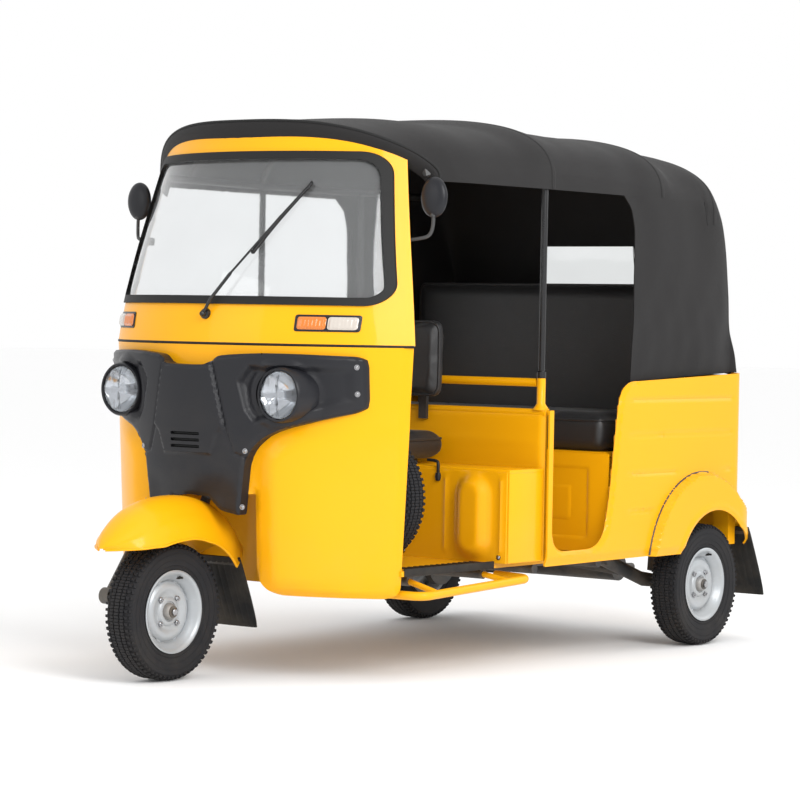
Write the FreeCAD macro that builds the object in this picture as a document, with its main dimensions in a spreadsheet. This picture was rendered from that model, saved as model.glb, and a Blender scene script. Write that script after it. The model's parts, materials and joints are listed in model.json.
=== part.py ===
import FreeCAD, Part
import math
import os
import re
import Sketcher
from FreeCAD import Placement, Rotation, Vector

# A three-wheeled passenger auto rickshaw.  Millimetres, +Z up.  The front faces -Y and the vehicle's
# left side faces +X.  The origin is on the ground under the middle of the vehicle's length.

doc = FreeCAD.newDocument("AutoRickshaw")
sheet = doc.addObject("Spreadsheet::Sheet", "Sizes")

# Driving dimensions.  A "station" is measured rearward from the front axle; "ahead" and "behind" are
# measured from the rear axle; a "level" is a height above the ground.
DIMENSIONS = {
    # whole vehicle
    "wheelbase": 2000,
    "front_overhang": 275,
    "rear_overhang": 360,
    "body_half": 620,
    "floor_half": 600,
    "skin": 14,
    "clearance": 0.3,
    # wheels
    "tyre_radius": 203,
    "tyre_width": 100,
    "rim_radius": 125,
    "rim_width": 84,
    "rim_wall": 6,
    "hub_radius": 38,
    "wheel_bore": 12,
    "rear_track_half": 575,
    # steering
    "steering_foot": -40,
    "steering_lean": 22.8,
    "column_radius": 22,
    "head_radius": 32,
    "head_low": 566,
    "head_high": 700,
    "bar_level": 972,
    "bar_half": 290,
    "bar_radius": 11,
    "fork_offset": 78,
    "fork_radius": 15,
    "fender_half": 110,
    # cab front
    "cowl_low": 247,
    "belt": 990,
    "screen_low": 1112,
    "screen_mid": 1301,
    "header": 1640,
    "nose_low": 150,
    "nose_belt": 117,
    "nose_screen": 137,
    "nose_mid": 190,
    "nose_header": 312,
    "door_low_half": 543,
    "door_belt_half": 583,
    "door_screen_half": 565,
    "door_mid_half": 530,
    "door_header_half": 463,
    "door_edge": 428,
    "door_edge_screen": 440,
    "door_edge_mid": 465,
    "door_edge_header": 526,
    "channel_half": 200,
    "channel_top": 548,
    "channel_back": 395,
    # cabin
    "floor": 330,
    "floor_thick": 16,
    "seat_front": 888,
    "seat_box_top": 616,
    "partition": 1070,
    "partition_top": 795,
    "partition_thick": 24,
    "post_half": 572,
    "post_radius": 15,
    "bench_ahead": 550,
    "bench_top": 655,
    "door_back_ahead": 530,
    # rear body
    "sill": 312,
    "side_top": 885,
    "side_thick": 26,
    "tail_behind": 235,
    "arch_half": 648,
    "lid_half": 330,
    "lid_low": 385,
    "lid_high": 632,
    "plate_spacing": 150,
    "plate_hole": 3.5,
    "plate_level": 742,
    "tow_bore": 11,
    # hood
    "roof": 1704,
    "hood_hem": 1474,
    "hood_thick": 9,
    "hood_half": 597,
}
for row, (name, value) in enumerate(DIMENSIONS.items(), start=1):
    sheet.set(f"A{row}", name)
    sheet.set(f"B{row}", str(value))
    sheet.setAlias(f"B{row}", name)
doc.recompute()


class Sizes:
    """Reads a driving dimension from the sheet by its alias."""

    def __getattr__(self, name):
        return float(sheet.get(name))


d = Sizes()

# Places along Y, both as text for bindings and as numbers for computed shapes.
FRONT_AXLE = "((front_overhang - rear_overhang - wheelbase) / 2)"
REAR_AXLE = "((front_overhang - rear_overhang + wheelbase) / 2)"
front_axle = (d.front_overhang - d.rear_overhang - d.wheelbase) / 2
rear_axle = front_axle + d.wheelbase
NODES = []


def bound(text):
    """The expression with each alias pointed at the sheet."""
    return re.sub(r"[a-z][a-z_]+", lambda word: f"Sizes.{word.group()}" if word.group() in DIMENSIONS
                  else word.group(), str(text))


def bind(thing, **properties):
    """Bind each named property to an expression of sheet aliases."""
    for name, text in properties.items():
        thing.setExpression(name, bound(text))
    return thing


def place(thing, x=0, y=0, z=0, turn=None):
    """Bind the position of a thing and give it a fixed turn."""
    if turn is not None:
        thing.Placement = Placement(Vector(), turn)
    for axis, text in zip("xyz", (x, y, z)):
        thing.setExpression(f"Placement.Base.{axis}", bound(text))
    return thing


ALONG = {
    "X": Rotation(Vector(0, 1, 0), 90),
    "Y": Rotation(Vector(1, 0, 0), -90),
    "Z": Rotation(),
}


def box(name, x, y, z):
    """A box given as (low, length) pairs along each axis."""
    block = doc.addObject("Part::Box", name)
    bind(block, Length=x[1], Width=y[1], Height=z[1])
    return place(block, x[0], y[0], z[0])


def cylinder(name, radius, length, start, along):
    """A cylinder from its start point along X, Y or Z."""
    rod = doc.addObject("Part::Cylinder", name)
    bind(rod, Radius=radius, Height=length)
    return place(rod, *start, turn=ALONG[along])


def fuse(name, *shapes):
    """One solid of several overlapping things."""
    joined = doc.addObject("Part::MultiFuse", name)
    joined.Shapes = list(shapes)
    return joined


def cut(name, base, *tools):
    """The base with each tool taken away."""
    result = doc.addObject("Part::Cut", name)
    result.Base = base
    result.Tool = tools[0] if len(tools) == 1 else fuse(f"{name}_tools", *tools)
    return result


def compound(name, *things):
    """Several separate solids held as one sub-part."""
    group = doc.addObject("Part::Compound", name)
    group.Links = list(things)
    return group


def shaped(name, shape):
    """A sub-part whose shape is worked out from the sizes."""
    feature = doc.addObject("Part::Feature", name)
    feature.Shape = shape
    feature.Placement = Placement()
    return feature


def node(label, thing):
    """Name a finished sub-part, which is written to its own file."""
    thing.Label = label
    NODES.append(thing)
    return thing


def sketch(body, name, points, plane="XZ_Plane", offset="0"):
    """A closed outline on one of the body's own planes, each corner bound to the sheet."""
    outline = body.newObject("Sketcher::SketchObject", name)
    support = [face for face in body.Origin.OriginFeatures if face.Role == plane][0]
    outline.AttachmentSupport = [(support, "")]
    outline.MapMode = "FlatFace"
    outline.setExpression("AttachmentOffset.Base.z", bound(offset))
    count = len(points)
    for i in range(count):
        angle, following = 2 * math.pi * i / count, 2 * math.pi * (i + 1) / count
        start = Vector(math.cos(angle), math.sin(angle), 0)
        end = Vector(math.cos(following), math.sin(following), 0)
        outline.addGeometry(Part.LineSegment(start, end), False)
    for i in range(count):
        outline.addConstraint(Sketcher.Constraint("Coincident", i, 2, (i + 1) % count, 1))
    for i, corner in enumerate(points):
        for kind, text in zip(("DistanceX", "DistanceY"), corner):
            index = outline.addConstraint(Sketcher.Constraint(kind, -1, 1, i, 1, 1.0))
            outline.setExpression(f"Constraints[{index}]", bound(text))
    return outline


def turned(name, points):
    """A body turned about its own X axis from a bound outline of (along, radius) corners."""
    body = doc.addObject("PartDesign::Body", name)
    outline = sketch(body, f"{name}_outline", points, "XZ_Plane")
    revolution = body.newObject("PartDesign::Revolution", f"{name}_turn")
    revolution.Profile = outline
    revolution.ReferenceAxis = (outline, ["H_Axis"])
    revolution.Angle = 360
    body.Tip = revolution
    return body


def pipe(points, radius, bend):
    """A round tube along straight runs joined by tangent arcs of one bend radius."""
    edges = []
    last = points[0]
    for before, corner, after in zip(points, points[1:], points[2:]):
        into, out = (corner - before).normalize(), (after - corner).normalize()
        reach = bend * math.tan(into.getAngle(out) / 2)
        start, end = corner - into * reach, corner + out * reach
        middle = corner + (out - into).normalize() * (math.hypot(reach, bend) - bend)
        edges += [Part.LineSegment(last, start).toShape(), Part.Arc(start, middle, end).toShape()]
        last = end
    edges.append(Part.LineSegment(last, points[-1]).toShape())
    path = Part.Wire(edges)
    ring = Part.Wire(Part.makeCircle(radius, points[0], points[1] - points[0]))
    return path.makePipeShell([ring], True, False)


def rod(start, end, radius):
    """A straight round bar between two points."""
    return Part.makeCylinder(radius, start.distanceToPoint(end), start, end - start)


def both_sides(shape):
    """The shape and its copy on the other side of the centre plane."""
    return Part.makeCompound([shape, shape.mirror(Vector(), Vector(1, 0, 0))])


def from_front(x, station, level):
    """A point given from the front axle."""
    return Vector(x, front_axle + station, level)


def from_rear(x, behind, level):
    """A point given from the rear axle."""
    return Vector(x, rear_axle + behind, level)


# Wheels: a tyre and a pressed rim, turned about the axle.
TYRE_OUTLINE = [
    ("-rim_width / 2", "rim_radius - 14"),
    ("-rim_width / 2", "rim_radius"),
    ("-tyre_width / 2", "rim_radius + 26"),
    ("-tyre_width / 2", "tyre_radius - 26"),
    ("-tyre_width * 0.4", "tyre_radius - 7"),
    ("-tyre_width * 0.2", "tyre_radius"),
    ("tyre_width * 0.2", "tyre_radius"),
    ("tyre_width * 0.4", "tyre_radius - 7"),
    ("tyre_width / 2", "tyre_radius - 26"),
    ("tyre_width / 2", "rim_radius + 26"),
    ("rim_width / 2", "rim_radius"),
    ("rim_width / 2", "rim_radius - 14"),
]
RIM_OUTLINE = [
    ("-rim_width / 2 - rim_wall", "rim_radius - 2"),
    ("-rim_width / 2", "rim_radius - 2"),
    ("-rim_width / 2", "rim_radius - 14"),
    ("rim_width / 2", "rim_radius - 14"),
    ("rim_width / 2", "rim_radius - 2"),
    ("rim_width / 2 + rim_wall", "rim_radius - 2"),
    ("rim_width / 2 + rim_wall", "rim_radius - 14 - rim_wall"),
    ("rim_width / 4 + rim_wall", "rim_radius - 20 - rim_wall"),
    ("rim_width / 4 - rim_wall", "hub_radius + 26"),
    ("rim_width / 4 + rim_wall", "hub_radius"),
    ("rim_width / 4 + rim_wall", "wheel_bore"),
    ("-rim_width / 4 - rim_wall", "wheel_bore"),
    ("-rim_width / 4 - rim_wall", "hub_radius"),
    ("rim_width / 4 - 2 * rim_wall", "hub_radius"),
    ("rim_width / 4 - 2 * rim_wall", "hub_radius + 26"),
    ("rim_width / 4", "rim_radius - 20 - rim_wall"),
    ("-rim_width / 2 - rim_wall", "rim_radius - 14 - rim_wall"),
]


def wheel(prefix, x, y, turn):
    """The tyre and rim of one wheel, with the open face of its rim towards the turned +X."""
    for part, outline in (("tyre", TYRE_OUTLINE), ("rim", RIM_OUTLINE)):
        name = f"{prefix}_{part}"
        node(name, place(turned(f"{name}_body", outline), x, y, "tyre_radius", turn))


HALF_TURN = Rotation(Vector(0, 0, 1), 180)
wheel("front", 0, FRONT_AXLE, Rotation())
wheel("rear_left", "rear_track_half", REAR_AXLE, Rotation())
wheel("rear_right", "-rear_track_half", REAR_AXLE, HALF_TURN)

# Steering.  The axis leans back as it rises; "along" is measured up it from the ground.
lean = math.radians(d.steering_lean)
steer_up = Vector(0, math.sin(lean), math.cos(lean))
steer_foot = from_front(0, d.steering_foot, 0)


def on_axis(along):
    """The point of the steering axis that far up it from the ground."""
    return steer_foot + steer_up * along


axle_radius = d.wheel_bore - d.clearance
hub_face = d.rim_width / 4 + d.rim_wall
axle_point = from_front(0, 0, d.tyre_radius)
fork_side = Vector(-d.fork_offset, 0, 0)
pivot_point = axle_point + Vector(0, -150, 48) + fork_side
shock_low = axle_point + fork_side + Vector(0, -38, 12)
shock_high = axle_point + fork_side + Vector(8, 30, d.tyre_radius + 20)
crown_point = on_axis(d.head_low / math.cos(lean))
leg = pipe(
    [
        crown_point,
        on_axis((d.tyre_radius * 2 + 52) / math.cos(lean)),
        axle_point + fork_side + Vector(0, -20, d.tyre_radius + 22),
        pivot_point,
    ],
    d.fork_radius,
    40,
)
pivot_boss = Part.makeCylinder(24, 34, pivot_point - Vector(17, 0, 0), Vector(1, 0, 0))
node("fork", shaped("fork_shape", leg.fuse(pivot_boss)))

link = rod(pivot_point, axle_point + fork_side, 13)
axle_boss = Part.makeCylinder(28, 26, axle_point + fork_side - Vector(13, 0, 0), Vector(1, 0, 0))
axle = Part.makeCylinder(
    axle_radius,
    d.fork_offset + hub_face + 16,
    axle_point + fork_side,
    Vector(1, 0, 0),
)
nut = Part.makeCylinder(17, 14, axle_point + Vector(hub_face + 1, 0, 0), Vector(1, 0, 0))
node("front_link", shaped("front_link_shape", link.fuse([axle_boss, axle, nut]).cut(pivot_boss)))

shock = rod(shock_low, shock_high, 13).cut(Part.makeCompound([link, leg, axle_boss]))
node("front_shock", shaped("front_shock_shape", max(shock.Solids, key=lambda solid: solid.Volume)))

bar_point = on_axis(d.bar_level / math.cos(lean))
column = rod(crown_point, bar_point, d.column_radius)
node("steering_column", shaped("steering_column_shape", column))
bar_out = Vector(d.bar_half, 55, 10)
bar_knee = Vector(d.bar_half * 0.45, 10, 8)


def across(point):
    """The point on the other side of the centre plane."""
    return Vector(-point.x, point.y, point.z)


bar_line = [across(bar_out), across(bar_knee), bar_knee, bar_out]
bar = pipe([bar_point + step for step in bar_line], d.bar_radius, 40)
grip_start = bar_point + bar_knee + (bar_out - bar_knee) * 0.4
grip = rod(grip_start, bar_point + bar_out, d.bar_radius + 5)
bar = bar.cut(column).fuse([grip, grip.mirror(Vector(), Vector(1, 0, 0))])
node("handlebar", shaped("handlebar_shape", bar))
pod = box("pod_block", ("-75", "150"), (f"{FRONT_AXLE} + steering_foot + bar_level * 0.42 - 62", "110"),
          ("bar_level + 19.2", "54"))
node("instrument_pod", pod)

# Front fender: arched sections set around the axle.  Each row is an angle back from straight up,
# then the crown's and the edges' distance from the axle, and the half width there.
FENDER = [
    (-54, 133, 122, 0.12),
    (-49, 134, 92, 0.5),
    (-42, 134, 62, 0.78),
    (-28, 136, 27, 0.97),
    (-4, 134, 12, 1.0),
    (18, 154, 13, 1.0),
    (33, 163, 22, 1.0),
    (46, 163, 28, 1.0),
    (58, 150, 34, 0.98),
]


def arch_section(angle, crown, edge, half, inset):
    """A closed arch across the vehicle, standing out from the axle at an angle."""
    high, low, wide = d.tyre_radius + crown - inset, d.tyre_radius + edge, half * d.fender_half - inset
    rise = high - low
    shape = [(-wide, low), (-0.93 * wide, low + 0.5 * rise), (-0.62 * wide, low + 0.86 * rise), (0, high)]
    shape += [(-x, z) for x, z in reversed(shape[:-1])]
    curve = Part.BSplineCurve()
    curve.interpolate([Vector(x, 0, z) for x, z in shape])
    ends = Part.LineSegment(Vector(wide, 0, low), Vector(-wide, 0, low))
    wire = Part.Wire([curve.toShape(), ends.toShape()])
    wire.rotate(Vector(), Vector(1, 0, 0), -angle)
    wire.translate(axle_point)
    return wire


def fender_solid(inset):
    """The fender's arch as a solid, drawn in from its outside by the inset."""
    return Part.makeLoft([arch_section(*row, inset) for row in FENDER], True)


fender_skin = 5
inner_rows = [(a, c, e - 6, max(h, 0.2)) for a, c, e, h in FENDER]
inner = Part.makeLoft([arch_section(*row, fender_skin) for row in inner_rows[1:]], True)
fender_shell = fender_solid(0).cut(inner).cut(leg.fuse(column))
node("front_fender", shaped("front_fender_shape", max(fender_shell.Solids, key=lambda s: s.Volume)))

# Cab front.  Each level's outline is one arc from door edge to door edge through the nose.
LEVELS = {
    "cowl_low": (d.cowl_low, d.nose_low, d.door_low_half, d.door_edge),
    "belt": (d.belt, d.nose_belt, d.door_belt_half, d.door_edge),
    "screen_low": (d.screen_low, d.nose_screen, d.door_screen_half, d.door_edge_screen),
    "screen_mid": (d.screen_mid, d.nose_mid, d.door_mid_half, d.door_edge_mid),
    "header": (d.header, d.nose_header, d.door_header_half, d.door_edge_header),
}


def between(low, high, level):
    """A level's outline worked out between two others."""
    part = (level - low[0]) / (high[0] - low[0])
    return tuple(a + (b - a) * part for a, b in zip(low, high))


def cab_outline(row, inset=0, back=0):
    """The closed outline of the cab at a level, drawn in by the inset and run back past the door edge."""
    level, nose, half, edge = row
    left, right = from_front(half - inset, edge, level), from_front(inset - half, edge, level)
    arc = Part.Arc(right, from_front(0, nose + inset, level), left).toShape()
    if not back:
        return Part.Wire([arc, Part.LineSegment(left, right).toShape()])
    behind = [left, left + Vector(0, back, 0), right + Vector(0, back, 0), right]
    lines = [Part.LineSegment(a, b).toShape() for a, b in zip(behind, behind[1:])]
    return Part.Wire([arc] + lines)


def cab_solid(rows, inset=0, back=0):
    """The space inside the cab's surface through the given levels."""
    return Part.makeLoft([cab_outline(row, inset, back) for row in rows], True)


def raised(row, amount):
    """The same outline at another height."""
    return (row[0] + amount,) + row[1:]


def block(x, y, z):
    """A box shape from (low, high) pairs."""
    return Part.makeBox(x[1] - x[0], y[1] - y[0], z[1] - z[0], Vector(x[0], y[0], z[0]))


def front_block(x, stations, z):
    """A box shape whose Y is given by stations from the front axle."""
    return block(x, [front_axle + value for value in stations], z)


def polygon_y(points, low, high, at=front_axle):
    """A prism across the vehicle's length: (x, level) corners from one station to another."""
    wire = Part.makePolygon([Vector(x, at + low, z) for x, z in points + points[:1]])
    return Part.Face(wire).extrude(Vector(0, high - low, 0))


def polygon_x(points, low, high, at=front_axle):
    """A prism across the vehicle's width: (station, level) corners from one X to another."""
    wire = Part.makePolygon([Vector(low, at + y, z) for y, z in points + points[:1]])
    return Part.Face(wire).extrude(Vector(high - low, 0, 0))


cowl_rows = [LEVELS["cowl_low"], between(LEVELS["cowl_low"], LEVELS["belt"], 560), LEVELS["belt"]]
cowl_outer = cab_solid(cowl_rows)
cowl_inner_rows = [raised(cowl_rows[0], -1), cowl_rows[1], raised(cowl_rows[2], 1)]
cowl_inner = cab_solid(cowl_inner_rows, d.skin, 60)
channel = front_block((-d.channel_half, d.channel_half), (0, d.channel_back), (d.cowl_low - 5, d.channel_top))


def rounded_prism(corners, corner_radii):
    """A prism through the cab from the front, its (x, level) corners rounded where a radius is given."""
    shape = polygon_y(corners, 0, 700)
    for (x, level), radius in corner_radii.items():
        shape = shape.makeFillet(radius, [
            edge for edge in shape.Edges
            if all(math.hypot(v.X - x, v.Z - level) < 1 for v in edge.Vertexes)
        ])
    return shape


shield_top = d.belt + 1
shield_corners = [
    (d.channel_half, d.cowl_low), (d.door_low_half + 2, d.cowl_low), (d.door_belt_half + 2, shield_top),
    (-d.channel_half, shield_top), (-d.channel_half, d.channel_top - 1), (d.channel_half, d.channel_top - 1),
]
shield = rounded_prism(shield_corners, {shield_corners[0]: 92, shield_corners[1]: 34})
shields = shield.fuse(shield.mirror(Vector(), Vector(1, 0, 0)))
cowl = cowl_outer.cut(cowl_inner).cut(channel).common(shields)
node("front_cowl", shaped("front_cowl_shape", cowl))

# Wheel housing: the folded sheet behind the steered wheel, open to the front and below.
housing_out = front_block(
    (-d.channel_half - d.skin, d.channel_half + d.skin),
    (0, d.channel_back + d.skin),
    (d.cowl_low + 20, d.channel_top + d.skin),
)
stem_hole = Part.makeCylinder(46, 260, on_axis(500), steer_up)
foot_slope = polygon_x([(100, 240), (290, 240), (290, 268), (120, 352), (100, 352)], -300, 300)
housing = housing_out.cut(channel).cut(stem_hole).cut(foot_slope).common(cowl_inner)
node("wheel_housing", shaped("wheel_housing_shape", housing))

# Windscreen frame, its glass and seal, and the header above.
screen_rows = [LEVELS["belt"], LEVELS["screen_low"], LEVELS["screen_mid"], LEVELS["header"]]
screen_outer = cab_solid(screen_rows)
screen_inner = cab_solid(
    [raised(screen_rows[0], -1)] + screen_rows[1:3] + [raised(screen_rows[3], 1)], d.skin * 1.8, 90
)


def rounded(half_low, half_high, low, high, low_corner, high_corner):
    """A four-sided prism through the cab from the front, with rounded corners."""
    corners = [(half_low, low), (half_high, high), (-half_high, high), (-half_low, low)]
    return rounded_prism(corners, dict(zip(corners, (low_corner, high_corner, high_corner, low_corner))))


opening = rounded(529, 441, 1116, 1548, 48, 74)
glass_hole = rounded(518, 431, 1128, 1536, 38, 64)
brow = rounded(d.door_belt_half + 30, d.door_header_half + 11, d.belt - 67, d.header - 1, 60, 118)
frame_shell = screen_outer.cut(screen_inner).cut(opening).common(brow)
seal_outer = cab_solid([(row[0], row[1] - 7, row[2] + 7, row[3]) for row in screen_rows])
seal_frame = rounded(541, 452, 1104, 1560, 58, 84).cut(glass_hole)
seal = seal_frame.common(seal_outer).cut(screen_inner).cut(frame_shell)
node("windscreen_seal", shaped("windscreen_seal_shape", max(seal.Solids, key=lambda s: s.Volume)))
glass_outer = cab_solid(screen_rows, 6)
glass_inner = cab_solid([raised(screen_rows[0], -1)] + screen_rows[1:3] + [raised(screen_rows[3], 1)], 11, 90)
glass = glass_hole.common(glass_outer).cut(glass_inner)
node("windscreen_glass", shaped("windscreen_glass_shape", glass))

# Fascia: the black moulding over the nose, standing proud of the cowl.
PROUD, PROUD_END = 50, 14
proud_rows = [(row[0], row[1] - PROUD, row[2] + PROUD_END, row[3]) for row in cowl_rows]
FASCIA = [
    (90, 926), (108, 952), (300, 962), (508, 954), (508, 806), (470, 788), (350, 756), (236, 690), (218, 620),
    (206, 510), (164, 510), (146, 558),
]
fascia_points = FASCIA + [(-x, level) for x, level in reversed(FASCIA)]
lamp_x, lamp_level, lamp_radius, lamp_face = 311, 842, 72, 134
lamp_hole = Part.makeCylinder(
    lamp_radius + d.clearance, 200, from_front(lamp_x, 0, lamp_level), Vector(0, 1, 0)
)
bezel = Part.makeCylinder(lamp_radius + 10, 90, from_front(lamp_x, lamp_face - 6, lamp_level), Vector(0, 1, 0))
fascia = polygon_y(fascia_points, 0, 420).common(cab_solid(proud_rows)).cut(cowl_outer)
fascia = fascia.fuse(both_sides(bezel.cut(cowl_outer)).Solids).cut(both_sides(lamp_hole))
slots = [front_block((-55, 55), (0, 400), (level, level + 9)) for level in (680, 699, 718)]
slot_floor = cab_solid([(row[0], row[1] - 30, row[2] + 30, row[3]) for row in cowl_rows])
fascia = fascia.cut(Part.makeCompound(slots).cut(slot_floor))
node("front_fascia", shaped("front_fascia_shape", max(fascia.Solids, key=lambda s: s.Volume)))

bulb = Part.makeCylinder(lamp_radius, 46, from_front(lamp_x, lamp_face, lamp_level), Vector(0, 1, 0))
lamps = both_sides(bulb.cut(cowl_outer))
node("headlamps", shaped("headlamps_shape", lamps))

# Indicators on the belt band, one each side, following the cab's curve.
band_rows = [LEVELS["belt"], LEVELS["screen_low"]]
lens_rows = [(row[0], row[1] - 12, row[2] + 12, row[3]) for row in band_rows]
lens = front_block((315, 470), (100, 420), (1027, 1077)).common(cab_solid(lens_rows)).cut(screen_outer)
node("front_indicators", shaped("front_indicators_shape", both_sides(lens)))

def cab_surface(x, level, proud=0):
    """The point of the cab's surface at that X and level, moved forward by the stated amount."""
    rows = sorted(LEVELS.values())
    low, high = [pair for pair in zip(rows, rows[1:]) if pair[0][0] <= level <= pair[1][0]][0]
    _, nose, half, edge = between(low, high, level)
    radius = (half**2 + (edge - nose) ** 2) / (2 * (edge - nose))
    return from_front(x, nose + radius - math.sqrt(radius**2 - x**2) - proud, level)


# Wiper: spindle, arm and blade lying on the glass.
spindle = rod(cab_surface(33, 1074, -8), cab_surface(33, 1074, 16), 10)
arm = pipe([cab_surface(33, 1074, 12), cab_surface(110, 1195, 24), cab_surface(219, 1362, 16)], 4, 60)
blade = pipe([cab_surface(159, 1257, 9), cab_surface(219, 1362, 12), cab_surface(279, 1463, 9)], 5, 400)
wiper = spindle.fuse([arm, blade]).cut(screen_outer)
node("wiper", shaped("wiper_shape", max(wiper.Solids, key=lambda s: s.Volume)))

dash = front_block((-560, 560), (0, 216), (1012, 1098)).common(cab_solid(screen_rows, d.skin * 1.8 + 1))
node("dashboard", shaped("dashboard_shape", dash))

# Floor, frame and step rails.
BENCH = f"({REAR_AXLE} - bench_ahead)"
PARTITION = f"({FRONT_AXLE} + partition)"
SEAT = f"({FRONT_AXLE} + seat_front)"
TAIL = f"({REAR_AXLE} + tail_behind)"
floor_low = "floor - floor_thick"
floor_sheet = box(
    "floor_sheet",
    ("-floor_half + 2 * side_thick", "2 * floor_half - 4 * side_thick"),
    (f"{FRONT_AXLE} + door_edge", f"{BENCH} - ({FRONT_AXLE} + door_edge)"),
    (floor_low, "floor_thick"),
)
tunnel = box("floor_tunnel", (-30, 60), (FRONT_AXLE, "door_edge + 45"), (floor_low, "3 * floor_thick"))
node("floor_pan", cut("floor_pan_cut", floor_sheet, tunnel))

# Frame: two long rails under the floor, cross tubes and the steering head.
rail_x, rail_radius = 300, 19
rail_level = d.floor - d.floor_thick - rail_radius
rail = rod(from_front(rail_x, d.door_edge, rail_level), from_rear(rail_x, 215, rail_level), rail_radius)
cross_stations = [from_front(0, d.door_edge + extra, rail_level) for extra in (20, 90)]
cross_stations += [from_front(0, d.seat_front, rail_level)]
cross_stations += [from_front(0, d.partition + 90, rail_level), from_rear(0, -480, rail_level)]
cross_stations += [from_rear(0, 195, rail_level)]
crosses = [rod(p - Vector(510, 0, 0), p + Vector(510, 0, 0), rail_radius - 3) for p in cross_stations]
tow_point = from_rear(0, d.tail_behind + 14, rail_level)
tow_eye = Part.makeBox(60, 62, 10, tow_point - Vector(30, 44, 5))
tow_eye = tow_eye.cut(Part.makeCylinder(d.tow_bore, 40, tow_point - Vector(0, 0, 20)))
head = rod(crown_point + steer_up * 4, on_axis(d.head_high / math.cos(lean)), d.head_radius)
head_bore = rod(crown_point, on_axis(1000), d.column_radius + 1)
down_start = on_axis((d.head_low + 50) / math.cos(lean))
backbone = pipe(
    [
        down_start + Vector(0, 0, 0),
        from_front(0, d.channel_back + 42, d.head_low + 30),
        from_front(0, d.channel_back + 42, rail_level),
    ],
    rail_radius,
    60,
)
frame = rail.fuse([tow_eye, rail.mirror(Vector(), Vector(1, 0, 0))] + crosses)
node("chassis_frame", shaped("chassis_frame_shape", frame))
neck = head.fuse(backbone).cut(head_bore).cut(frame)
node("steering_head", shaped("steering_head_shape", max(neck.Solids, key=lambda s: s.Volume)))

step = pipe(
    [
        from_front(470, d.door_edge + 26, 258),
        from_front(604, d.door_edge + 30, 258),
        from_front(604, d.seat_front + 110, 280),
        from_front(470, d.seat_front + 120, 283),
    ],
    13,
    40,
)
hanger_front = rod(from_front(500, d.door_edge + 90, rail_level), from_front(604, d.door_edge + 90, 268), 9)
hanger_back = rod(from_front(500, d.seat_front, rail_level), from_front(604, d.seat_front, 279), 9)
steps = step.fuse([hanger_front, hanger_back]).cut(Part.makeCompound(crosses))
node("step_rails", shaped("step_rails_shape", both_sides(max(steps.Solids, key=lambda s: s.Volume))))

# Driver's seat box, its raised pressing, the partition behind it and the guard rail.
seat_box = box(
    "seat_box_block",
    ("-floor_half", "2 * floor_half"),
    (SEAT, "partition - seat_front"),
    ("floor", "seat_box_top - floor"),
)
seat_void = box(
    "seat_box_void",
    ("-floor_half + skin", "2 * floor_half - 2 * skin"),
    (f"{SEAT} + skin", "partition - seat_front - skin"),
    ("floor", "seat_box_top - floor - skin"),
)
press = Part.makeCylinder(70, d.seat_box_top - d.floor - 90, from_front(467, d.seat_front, d.floor))
press = press.fuse(Part.makeSphere(70, from_front(467, d.seat_front, d.seat_box_top - 90)))
press = press.cut(front_block((300, 600), (d.seat_front, d.partition), (d.floor - 1, d.seat_box_top)))
pressings = shaped("seat_box_pressings", both_sides(press))
node("seat_box", fuse("seat_box_fused", cut("seat_box_cut", seat_box, seat_void), pressings))

partition = box(
    "partition_sheet",
    ("-floor_half + side_thick", "2 * floor_half - 2 * side_thick"),
    (PARTITION, "partition_thick"),
    ("floor", "partition_top - floor"),
)
node("partition", partition)
rail_bar = cylinder(
    "guard_rail_tube", 13, "2 * (post_half - post_radius)",
    ("-(post_half - post_radius)", f"{PARTITION} + 19", "partition_top + 85"), "X",
)
node("guard_rail", rail_bar)

# Door posts: one upright tube on each side, from the partition to the hood.
POST_LOW, POST_HIGH = "partition_top", "hood_hem + 17 - partition_top"
posts = [
    cylinder(f"door_post_{side}", "post_radius", POST_HIGH, (x, f"{PARTITION} + 19", POST_LOW), "Z")
    for side, x in (("left", "post_half"), ("right", "-post_half"))
]
node("door_posts", compound("door_posts_pair", *posts))

# Driver's seat: cushion and backrest, each a plain soft block with its posts.
cushion = box("driver_cushion", (-260, 520), (f"{SEAT} - 168", 330), ("seat_box_top + 22", 76))
node("driver_seat", cushion)
backrest = box("driver_back_pad", (-250, 500), (f"{PARTITION} - 78", 66), ("seat_box_top + 200", 262))
node("driver_backrest", backrest)
mount_pad = box("seat_mount_base", (-150, 300), (f"{SEAT} + 10", 120), ("seat_box_top", 22))
arms = [
    box(f"backrest_arm_{side}", (x, 30), (f"{PARTITION} - 12", 12), ("partition_top - 40", 110))
    for side, x in (("left", 120), ("right", -150))
]
node("seat_mounts", compound("seat_mounts_group", mount_pad, *arms))

# Passenger bench: its front panel, cushion, backrest and the deck they stand on.
panel = box("bench_panel_sheet", ("-floor_half + side_thick", "2 * floor_half - 2 * side_thick"),
            (BENCH, "skin"), ("floor", "bench_top - floor"))
deck = box("bench_deck_sheet", ("-floor_half + side_thick", "2 * floor_half - 2 * side_thick"),
           (f"{BENCH} + skin", "bench_ahead + tail_behind - 2 * skin"), ("bench_top - skin", "skin"))
node("bench_frame", fuse("bench_frame_fused", panel, deck))
bench_cushion = box("bench_cushion_block", (-560, 1120), (f"{BENCH} + 5", 450), ("bench_top", 120))
node("passenger_seat", bench_cushion)
bench_back = box("bench_back_block", (-560, 1120), (f"{BENCH} + 455", 90), ("bench_top", 560))
node("passenger_backrest", bench_back)

# Side panels: one pressed sheet on each side with the doorway and the wheel arch cut out.
OPENING_CENTRE, OPENING_RADIUS, OPENING_LEVEL = 20, 224, 228
FLARE_CENTRE, FLARE_RADIUS, FLARE_LEVEL = -38, 315, 264
side_x = (d.body_half - d.side_thick, d.body_half)


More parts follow.
